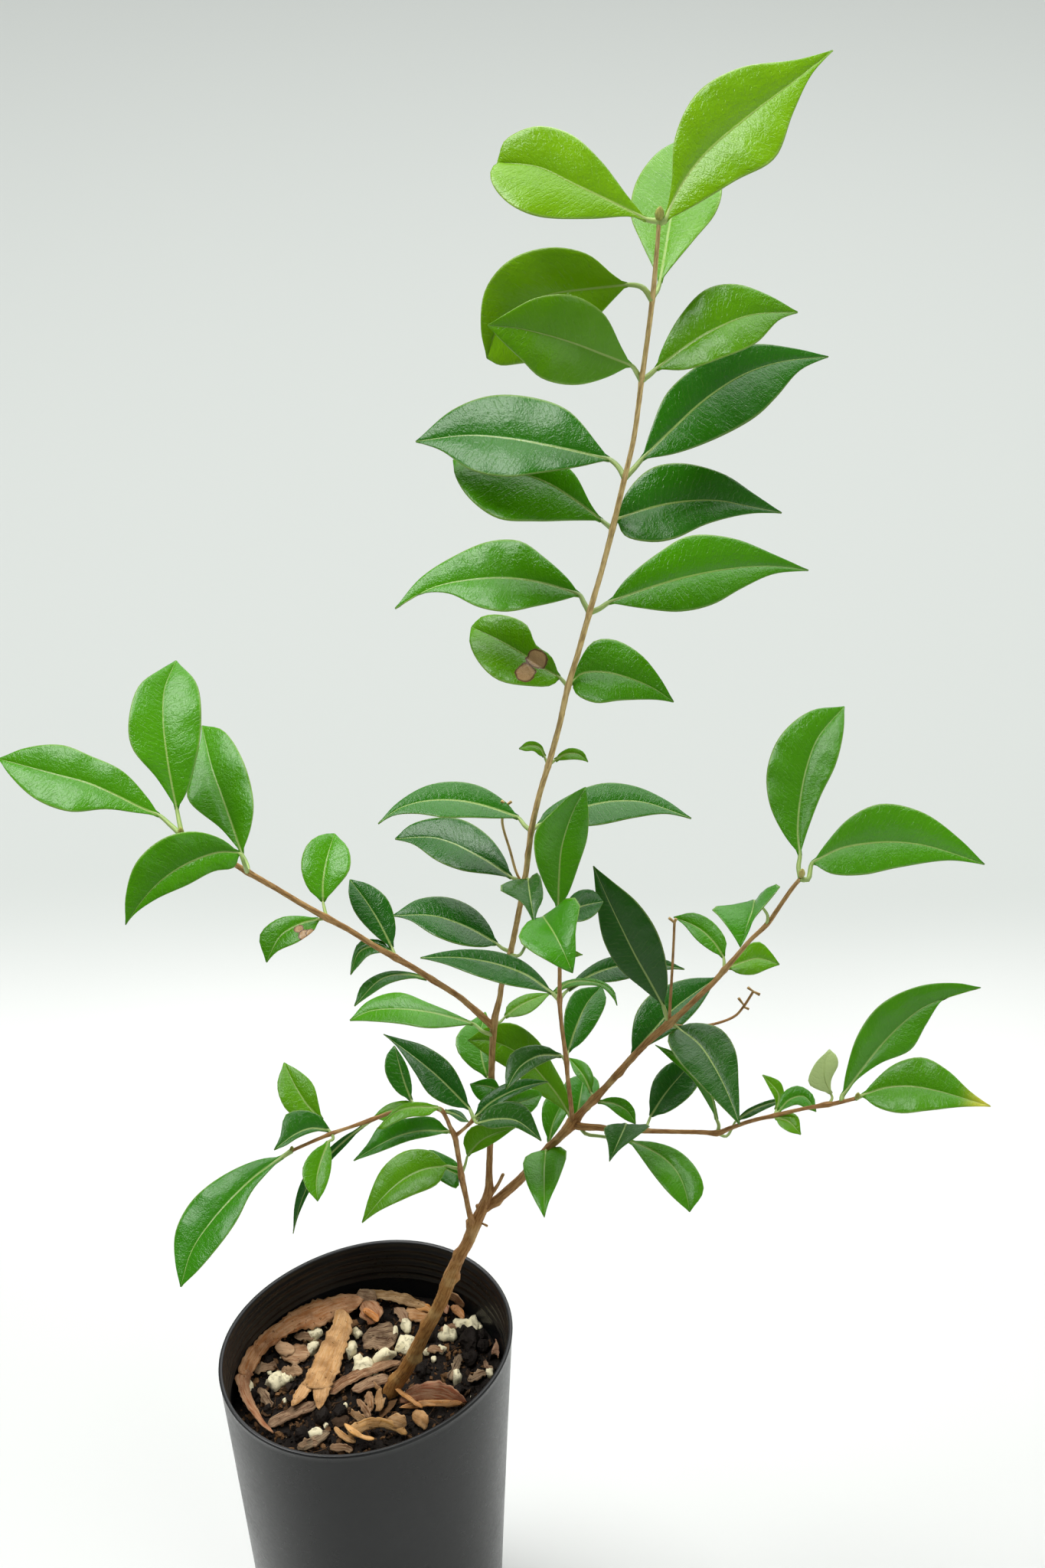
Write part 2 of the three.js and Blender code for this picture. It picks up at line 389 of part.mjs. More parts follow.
function toGeometry(body) {
  const { vertProperties, triVerts, numProp } = body.getMesh();
  const positions = new Float32Array(vertProperties.length / numProp * 3);
  for (let i = 0; i < positions.length / 3; i += 1) {
    positions.set(vertProperties.subarray(i * numProp, i * numProp + 3), i * 3);
  }
  const geometry = new THREE.BufferGeometry();
  geometry.setAttribute('position', new THREE.BufferAttribute(positions, 3));
  geometry.setIndex(Array.from(triVerts));
  return geometry;
}

function toMesh(name, body, colour, roughness) {
  let settled = body;
  for (let round = 0; round < WELD_ROUNDS; round += 1) {
    settled = mainShell(fromGeometry(toGeometry(settled.simplify(MERGE))));
  }
  const geometry = toGeometry(settled);
  geometry.computeVertexNormals();
  const material = new THREE.MeshStandardMaterial({ color: colour, roughness, metalness: 0 });
  const mesh = new THREE.Mesh(geometry, material);
  mesh.name = name;
  return mesh;
}

// A round stem along points of x, y (pixels), depth (mm) and width (pixels); extra widens it all round.
function stemBody(points, extra = 0) {
  const centres = points.map(([px, py, depth]) => pointAt(px, py, reachOfDepth(px, py, depth)));
  const rings = centres.map((centre, i) => {
    const reach = reachOfDepth(points[i][0], points[i][1], points[i][2]);
    const radius = points[i][3] / 2 * reach / FOCAL + extra;
    const before = centres[Math.max(0, i - 1)];
    const after = centres[Math.min(centres.length - 1, i + 1)];
    const along = after.clone().sub(before).normalize();
    const side = along.clone().cross(centre.clone().sub(EYE)).normalize();
    const up = along.clone().cross(side);
    const shift = (i === 0 ? -extra : 0) + (i === centres.length - 1 ? extra : 0);
    const ring = [];
    for (let k = 0; k < STEM_SIDES; k += 1) {
      const turn = 2 * Math.PI * k / STEM_SIDES;
      ring.push(centre.clone().addScaledVector(along, shift)
        .addScaledVector(side, radius * Math.cos(turn)).addScaledVector(up, radius * Math.sin(turn)));
    }
    return ring;
  });
  const caps = [];
  for (let k = 1; k + 1 < STEM_SIDES; k += 1) {
    caps.push([0, k, k + 1]);
  }
  return solid(rings, new Array(STEM_SIDES).fill(false), caps);
}

// Six-point rings of a thin strip: left edge, middle and right edge on both faces.
function stripBody(rows, thickness) {
  const rings = rows.map(([left, middle, right], i) => {
    const before = rows[Math.max(0, i - 1)][1];
    const after = rows[Math.min(rows.length - 1, i + 1)][1];
    const along = after.clone().sub(before);
    const normal = right.clone().sub(left).cross(along).normalize().multiplyScalar(thickness / 2);
    return [
      left.clone().add(normal), middle.clone().add(normal), right.clone().add(normal),
      right.clone().sub(normal), middle.clone().sub(normal), left.clone().sub(normal),
    ];
  });
  const caps = [[0, 1, 4], [0, 4, 5], [1, 2, 3], [1, 3, 4]];
  return solid(rings, [false, true, false, false, true, false], caps);
}

// The spot on a node's stems nearest to a pixel, with its reach from the eye.
function nearestOnStem(stems, px, py) {
  let best = null;
  stems.forEach((stem) => {
    for (let i = 0; i + 1 < stem.length; i += 1) {
      const [ax, ay, ad] = stem[i];
      const [bx, by, bd] = stem[i + 1];
      const share = ((px - ax) * (bx - ax) + (py - ay) * (by - ay)) / ((bx - ax) ** 2 + (by - ay) ** 2);
      const t = Math.min(1, Math.max(0, share));
      const spot = [ax + t * (bx - ax), ay + t * (by - ay)];
      const gap = Math.hypot(px - spot[0], py - spot[1]);
      if (!best || gap < best.gap) {
        best = { gap, spot, reach: reachOfDepth(spot[0], spot[1], ad + t * (bd - ad)) };
      }
    }
  });
  return best;
}

// One leaf: a stalk from inside the stem, then a blade between the two edges read off the picture.
function leafBody(leaf, stems, index) {
  const foot = nearestOnStem(stems, leaf.stalk[0][0], leaf.stalk[0][1]);
  const scale = foot.reach / FOCAL;
  const yaw = 0.2 * Math.sin(2.4 * index);
  const depthOf = ([px, py, given]) => leaf.behind / scale
    + (given === undefined ? leaf.lean * (foot.spot[1] - py) + yaw * (px - foot.spot[0]) : given / scale);
  const rib = smooth(leaf.rib.map((p) => [p[0], p[1], depthOf(p)]), BLADE_ROWS);
  const base = leaf.rib[0];
  const tip = leaf.rib[leaf.rib.length - 1];
  const outline = (edge) => smooth([base.slice(0, 2), ...edge, tip.slice(0, 2)], BLADE_ROWS);
  let edges = [outline(leaf.edge), outline(leaf.otherEdge)];
  const half = Math.floor(BLADE_ROWS / 2);
  const along = rib[half + 1].clone().sub(rib[half - 1]);
  const apart = edges[1][half].clone().sub(edges[0][half]);
  if (along.x * apart.y - along.y * apart.x < 0) {
    edges = [edges[1], edges[0]];
  }
  const length = rib[0].distanceTo(rib[BLADE_ROWS]);
  const arch = (0.05 + 0.03 * Math.sin(1.7 * index)) * length;
  const rows = rib.map((middle, i) => {
    const t = i / BLADE_ROWS;
    const raised = middle.clone();
    raised.z -= arch * 4 * t * (1 - t);
    const sides = edges.map((edge) => {
      const gap = Math.hypot(edge[i].x - middle.x, edge[i].y - middle.y);
      const tilt = leaf.lean * (middle.y - edge[i].y) + yaw * (edge[i].x - middle.x);
      return new THREE.Vector3(edge[i].x, edge[i].y, raised.z + tilt - FOLD * gap);
    });
    return [sides[0], raised, sides[1]];
  });
  const stalk = [[...foot.spot, 0], ...leaf.stalk.slice(1).map((p) => [p[0], p[1], depthOf(p)])];
  const stalkRows = stalk.map((p) => {
    const middle = new THREE.Vector3(p[0], p[1], p[2]);
    return [middle.clone(), middle, middle.clone()];
  });
  const all = [...stalkRows, ...rows];
  all.forEach((row, i) => {
    const before = all[Math.max(0, i - 1)][1];
    const after = all[Math.min(all.length - 1, i + 1)][1];
    const side = new THREE.Vector3(after.y - before.y, before.x - after.x, 0).normalize();
    const width = (i <= stalkRows.length ? STALK_WIDTH : TIP_WIDTH) / scale;
    [[0, 1], [2, -1]].forEach(([place, sign]) => {
      const reached = (row[place].x - row[1].x) * side.x * sign + (row[place].y - row[1].y) * side.y * sign;
      if (row[place].distanceTo(row[1]) < width / 2 || (i < stalkRows.length)) {
        row[place].addScaledVector(side, sign * (width / 2 - Math.max(0, reached)));
      }
    });
  });
  const solidRows = all.map((row) => row.map((p) => pointAt(p.x, p.y, foot.reach + p.z * scale)));
  return stripBody(solidRows, LEAF_THICKNESS);
}

// Keeps a point inside the pot's wall.
function insidePot(point, margin) {
  const flat = Math.hypot(point.x, point.y);
  const turn = Math.atan2(point.y, point.x);
  const limit = wallRadius(turn, point.z) - WALL - margin;
  if (flat > limit) {
    point.x *= limit / flat;
    point.y *= limit / flat;
  }
  return point;
}

function wallRadius(turn, height) {
  const round = BASE_RADIUS + (RIM_RADIUS - BASE_RADIUS) * height / POT_HEIGHT;
  const fade = Math.max(0, 1 - (POT_HEIGHT - height) / OVAL_DEPTH);
  return round * (1 + OVALNESS * fade * Math.cos(2 * (turn - OVAL_TURN)));
}

// Turns a round profile into the pot's slightly oval section.
function pressOval(geometry) {
  const position = geometry.attributes.position;
  for (let i = 0; i < position.count; i += 1) {
    const x = position.getX(i);
    const y = -position.getZ(i);
    const z = position.getY(i);
    const round = BASE_RADIUS + (RIM_RADIUS - BASE_RADIUS) * z / POT_HEIGHT;
    const grow = wallRadius(Math.atan2(y, x), z) / round;
    position.setXYZ(i, x * grow, y * grow, z);
  }
  return geometry;
}

function turned(profile) {
  const points = profile.map(([radius, height]) => new THREE.Vector2(radius, height));
  return pressOval(new THREE.LatheGeometry(points, POT_SIDES));
}

function makePot() {
  const slope = (RIM_RADIUS - BASE_RADIUS) / POT_HEIGHT;
  const inner = (height) => BASE_RADIUS + slope * height - WALL;
  const levels = [30, 60, 80, 95, 105, 113];
  const profile = [[0, 0], [BASE_RADIUS - 0.8, 0], [BASE_RADIUS, 0.8]];
  levels.forEach((height) => profile.push([BASE_RADIUS + slope * height, height]));
  profile.push([RIM_RADIUS, POT_HEIGHT], [RIM_RADIUS - WALL, POT_HEIGHT]);
  levels.reverse().forEach((height) => profile.push([inner(height), height]));
  profile.push([inner(FLOOR), FLOOR], [0, FLOOR]);
  let pot = fromGeometry(turned(profile));
  for (let k = 0; k < DRAIN_HOLES; k += 1) {
    const turn = 2 * Math.PI * (k + 0.5) / DRAIN_HOLES;
    const drill = new THREE.CylinderGeometry(DRAIN_DIAMETER / 2, DRAIN_DIAMETER / 2, 4 * FLOOR, 20);
    drill.rotateX(Math.PI / 2);
    drill.translate(DRAIN_RING_RADIUS * Math.cos(turn), DRAIN_RING_RADIUS * Math.sin(turn), FLOOR / 2);
    pot = pot.subtract(fromGeometry(drill));
  }
  return pot;
}

// The mix fills the pot up to an uneven top; seats stay below the level the litter rests on.
function makeMix(hole) {
  const slope = (RIM_RADIUS - BASE_RADIUS) / POT_HEIGHT;
  const fit = (height) => BASE_RADIUS + slope * height - WALL - CLEARANCE;
  const profile = [[0, FLOOR + CLEARANCE], [fit(FLOOR), FLOOR + CLEARANCE]];
  [30, 60, 80, 93, MIX_LEVEL - 0.5].forEach((height) => profile.push([fit(height), height]));
  [0.94, 0.85, 0.74, 0.62, 0.5, 0.38, 0.26, 0.13].forEach((share) => {
    profile.push([fit(MIX_LEVEL) * share, MIX_LEVEL]);
  });
  profile.push([0, MIX_LEVEL]);
  const geometry = turned(profile);
  const position = geometry.attributes.position;
  for (let i = 0; i < position.count; i += 1) {
    const [x, y, z] = [position.getX(i), position.getY(i), position.getZ(i)];
    if (z > MIX_LEVEL - 0.1) {
      const coarse = Math.sin(0.9 * x + 0.4 * y) + Math.sin(1.1 * y - 0.5 * x + 2);
      const rough = coarse + Math.sin(2.3 * x + 1.9 * y);
      position.setZ(i, MIX_LEVEL + 0.22 * rough);
    }
  }
  const bodies = [fromGeometry(geometry)];
  readPoints(LUMPS).forEach(([px, py, width, height], index) => {
    const centre = onLevel(px, py, SEAT_LEVEL - 1);
    const scale = (centre.distanceTo(EYE)) / FOCAL;
    const radius = (width + height) / 4 * scale;
    const lump = new THREE.IcosahedronGeometry(1, 0);
    lump.rotateZ(index).rotateX(1.3 * index);
    lump.scale(width / 2 * scale, height / 1.2 * scale, radius);
    lump.computeBoundingBox();
    const top = lump.boundingBox.max.z;
    const place = insidePot(centre, CLEARANCE + width / 2 * scale + 0.4);
    lump.translate(place.x, place.y, SEAT_LEVEL - top);
    bodies.push(fromGeometry(lump));
  });
  return fuse(bodies).subtract(hole);
}

// A flat dry piece between its two edges; a drop lowers it along the sight lines.
function litterBody(edge, otherEdge, drop) {
  const rowCount = Math.max(4, 2 * (readPoints(edge).length - 1));
  const [one, other] = [edge, otherEdge].map((text) => smooth(readPoints(text), rowCount)
    .map((p) => insidePot(onLevel(p.x, p.y, p.z - drop), CLEARANCE + LITTER_THICKNESS / 2)));
  const rows = one.map((left, i) => {
    const middle = left.clone().add(other[i]).multiplyScalar(0.5);
    middle.z += 0.08 * left.distanceTo(other[i]);
    return [left, middle, other[i]];
  });
  return stripBody(rows, LITTER_THICKNESS);
}

// True where a piece keeps its gap to everything that already lies in the pot.
function keepsClear(body, ground) {
  const nudges = [[0, 0, -1], [1, 0, 0], [-1, 0, 0], [0, 1, 0], [0, -1, 0]];
  return nudges.every((nudge) => {
    const nudged = body.translate(nudge.map((way) => way * CLEARANCE));
    return ground.every((other) => nudged.intersect(other).isEmpty());
  });
}

// Lowers a piece in small steps until it rests on what lies under it.
function settle(edge, otherEdge, ground) {
  let drop = -SETTLE_FROM;
  while (drop < SETTLE_FROM && keepsClear(litterBody(edge, otherEdge, drop + SETTLE_STEP), ground)) {
    drop += SETTLE_STEP;
  }
  return litterBody(edge, otherEdge, drop);
}

const plant = new Map();
readRows(STEMS).forEach(([name, points]) => plant.set(name, { stems: [readPoints(points)], leaves: [] }));
readRows(SIDE_SHOOTS).forEach(([name, points]) => plant.get(name).stems.push(readPoints(points)));
let growing = null;
readRows(LEAVES).forEach((cells) => {
  if (cells.length === 1) {
    growing = plant.get(cells[0]).leaves;
  } else {
    const [, lean, behind, stalk, rib, edge, otherEdge] = cells;
    growing.push({
      lean: Number(lean),
      behind: Number(behind),
      stalk: readPoints(stalk),
      rib: readPoints(rib),
      edge: readPoints(edge),
      otherEdge: readPoints(otherEdge),
    });
  }
});

// What each leafy stem keeps clear of: the stem that it grows from.
const PARENTS = {
  left_branch: 'main_stem',
  right_branch: 'main_stem',
  right_lower_branch: 'right_branch',
  centre_twig: 'right_branch',
  left_lower_branch: 'main_stem',
};

const object = new THREE.Group();
const hole = stemBody(plant.get('main_stem').stems[0].slice(0, 7), CLEARANCE);
object.add(toMesh('pot', makePot(), '#17181a', 0.45));
const mix = makeMix(hole);
object.add(toMesh('potting_mix', mix, '#2b211b', 0.95));
plant.forEach(({ stems, leaves }, name) => {
  const woody = stems.map((stem) => stemBody(stem));
  const green = leaves.map((leaf, i) => leafBody(leaf, stems, i));
  let body = fuse([...woody, ...green]);
  if (PARENTS[name]) {
    body = body.subtract(stemBody(plant.get(PARENTS[name]).stems[0], CLEARANCE));
  }
  object.add(toMesh(name, body, '#2f7a1e', 0.4));
});
const ground = [mix];
readRows(LITTER).forEach(([name, colour, edge, otherEdge]) => {
  const piece = settle(edge, otherEdge, ground).subtract(hole);
  ground.push(piece);
  object.add(toMesh(name, piece, colour, 0.85));
});

export default object;
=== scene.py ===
"""Young cinnamon myrtle in a black nursery tube pot, built over its solid model."""

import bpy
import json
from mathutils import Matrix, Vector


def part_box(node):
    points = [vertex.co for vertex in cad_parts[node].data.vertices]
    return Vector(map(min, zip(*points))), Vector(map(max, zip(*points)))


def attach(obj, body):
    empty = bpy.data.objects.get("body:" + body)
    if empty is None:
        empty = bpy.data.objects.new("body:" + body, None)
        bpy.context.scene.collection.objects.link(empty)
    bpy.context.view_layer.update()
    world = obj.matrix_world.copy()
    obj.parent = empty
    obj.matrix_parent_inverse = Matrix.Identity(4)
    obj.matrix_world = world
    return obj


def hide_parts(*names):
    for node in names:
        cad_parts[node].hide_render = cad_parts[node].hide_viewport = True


bl_info = {
    "name": "Potted Cinnamon Myrtle",
    "version": (1, 0, 0),
    "blender": (4, 5, 0),
    "location": "3D View > Sidebar > Myrtle",
    "description": "Builds a young cinnamon myrtle in its nursery tube pot",
    "category": "Object",
}

import json
import math

import bpy
import numpy as np
from bpy.props import FloatProperty, FloatVectorProperty, IntProperty, PointerProperty
from bpy.types import Operator, Panel, PropertyGroup
from mathutils import Vector, noise

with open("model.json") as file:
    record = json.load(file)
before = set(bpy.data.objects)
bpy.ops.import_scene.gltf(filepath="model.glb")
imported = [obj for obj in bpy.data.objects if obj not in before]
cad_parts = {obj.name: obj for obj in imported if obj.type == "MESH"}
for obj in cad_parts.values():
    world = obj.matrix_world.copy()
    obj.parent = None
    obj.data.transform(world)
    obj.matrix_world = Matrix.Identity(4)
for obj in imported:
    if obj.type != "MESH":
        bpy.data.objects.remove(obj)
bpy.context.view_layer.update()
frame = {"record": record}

# The picture that the plant is read from: eye point in mm, pitch, focal length and middle in pixels.
EYE = np.array([39.0, -363.0, 551.0])
PITCH = math.radians(35.5)
FOCAL = 2844.0
MIDDLE = (682.5, 1024.0)
PICTURE_HEIGHT = 2048.0

# Stems: x, y in pixels, depth behind the pot's axis in mm, width in pixels.
STEMS = """
main_stem | 492,1865,0,25 512,1815,0,25 531,1787,0,22 556,1738,0,20 576,1700,0,20 588,1668,0,22
  600,1642,0,18 611,1622,0,18 620,1600,0,19 631,1577,0,17 638,1556,0,13 639,1530,1,10 640,1500,2,9.5
  643,1455,3,9.5 642,1410,4,9.5 643,1375,4,9.5 646,1332,4,11 653,1302,4,8.5 655,1287,4,8.5 667,1243,4,8.5
  676,1200,4,8.5 685,1152,4,9 690,1118,4,8.5 694,1085,4,9 704,1040,4,8.5 716,1000,4,9 730,950,4,8.5
  742,897,3,9 756,850,3,8.5 770,800,2,9 786,745,2,8 800,691,2,9 816,624,1,8 828,572,1,7.5 838,497,0,8
  846,440,0,7.5 852,392,0,8 857,340,0,7 861,286,0,6
left_branch | 643,1340,4,11 628,1326,3,11 612,1312,2,9.5 600,1302,1,9 580,1289,0,9 565,1280,-1,10
  545,1267,-2,8.5 517,1251,-3,10 490,1236,-4,8.5 455,1214,-5,8.5 427,1199,-6,10 395,1181,-7,8.5
  360,1160,-8,8.5 325,1140,-9,9 290,1119,-10,7 260,1104,-11,7 236,1090,-12,7
right_branch | 628,1582,0,14 645,1570,0,14 668,1551,-1,14 684,1536,-1,14 700,1517,-2,13 718,1498,-2,12
  735,1481,-3,13 748,1467,-3,19 757,1456,-3,12 766,1446,-4,11 776,1436,-4,13 792,1419,-4,10 810,1399,-5,11
  830,1377,-5,10 850,1357,-6,10.5 874,1337,-6,13 888,1325,-7,9 912,1302,-8,8.5 933,1282,-9,8 946,1267,-9,9
  961,1250,-10,7.5 980,1228,-10,6.5 1002,1207,-11,7.5 1021,1180,-12,6.5 1035,1160,-12,6.5 1046,1147,-13,6
right_lower_branch | 750,1470,-3,12 765,1472,-6,11 785,1473,-8,10 800,1475,-9,7.5 840,1477,-11,7.5
  880,1478,-13,6.5 920,1479,-15,7 937,1480,-16,9 955,1473,-17,6.5 985,1463,-18,6 1012,1457,-19,6.5
  1050,1448,-21,5.5 1082,1443,-22,7 1100,1439,-23,6 1117,1435,-24,5.5
centre_twig | 747,1464,-3,8 746,1445,-6,7 743,1420,-8,7 741,1402,-9,6.5 740,1386,-10,8 737,1365,-11,6.5
  733,1335,-12,6 731,1305,-13,7.5 731,1285,-13,6 731,1262,-12,6 730,1235,-11,5 728,1198,-8,4.5
left_lower_branch | 618,1600,0,12 612,1580,-3,8 608,1560,-4,8 603,1538,-5,10 600,1518,-6,7 597,1500,-7,8
  594,1484,-8,9 588,1472,-9,6.5 583,1460,-10,6 575,1449,-11,7 560,1447,-11,5 545,1448,-12,5 515,1452,-13,5
  484,1463,-14,7 455,1473,-15,5 432,1481,-16,6 408,1491,-17,5 381,1503,-18,5
"""

SIDE_SHOOTS = """
left_lower_branch | 594,1484,-8,7 603,1477,-9,5 611,1470,-10,5.5 619,1462,-11,7
main_stem | 684,1155,4,4 676,1143,5,4 666,1110,7,4 656,1072,9,4 661,1050,10,4
right_branch | 874,1337,-6,5 876,1300,-5,4.5 879,1250,-4,4 881,1205,-3,4
right_branch | 874,1338,-6,5 900,1341,-6,4 935,1337,-5,4 960,1327,-4,4 971,1315,-4,4 984,1295,-4,4
main_stem | 641,1560,0,8 650,1548,-1,5 657,1534,-2,5
"""

# Short stubs of old fruit stalks: as the stems, each ending in a small knob.
STUBS = """
right_branch | 971,1315,-4,3 978,1318,-4,4
right_branch | 971,1312,-4,3 965,1304,-4,4.5
right_branch | 984,1295,-4,3 977,1290,-4,4.5
right_branch | 984,1295,-4,3 992,1299,-4,5
right_branch | 881,1205,-3,4 874,1199,-3,4.5
right_branch | 881,1205,-3,4 883,1200,-3,4.5
main_stem | 661,1052,10,4 668,1047,10,4.5
main_stem | 661,1052,10,4 655,1046,10,4.5
main_stem | 636,1601,0,4 630,1598,-1,3
"""

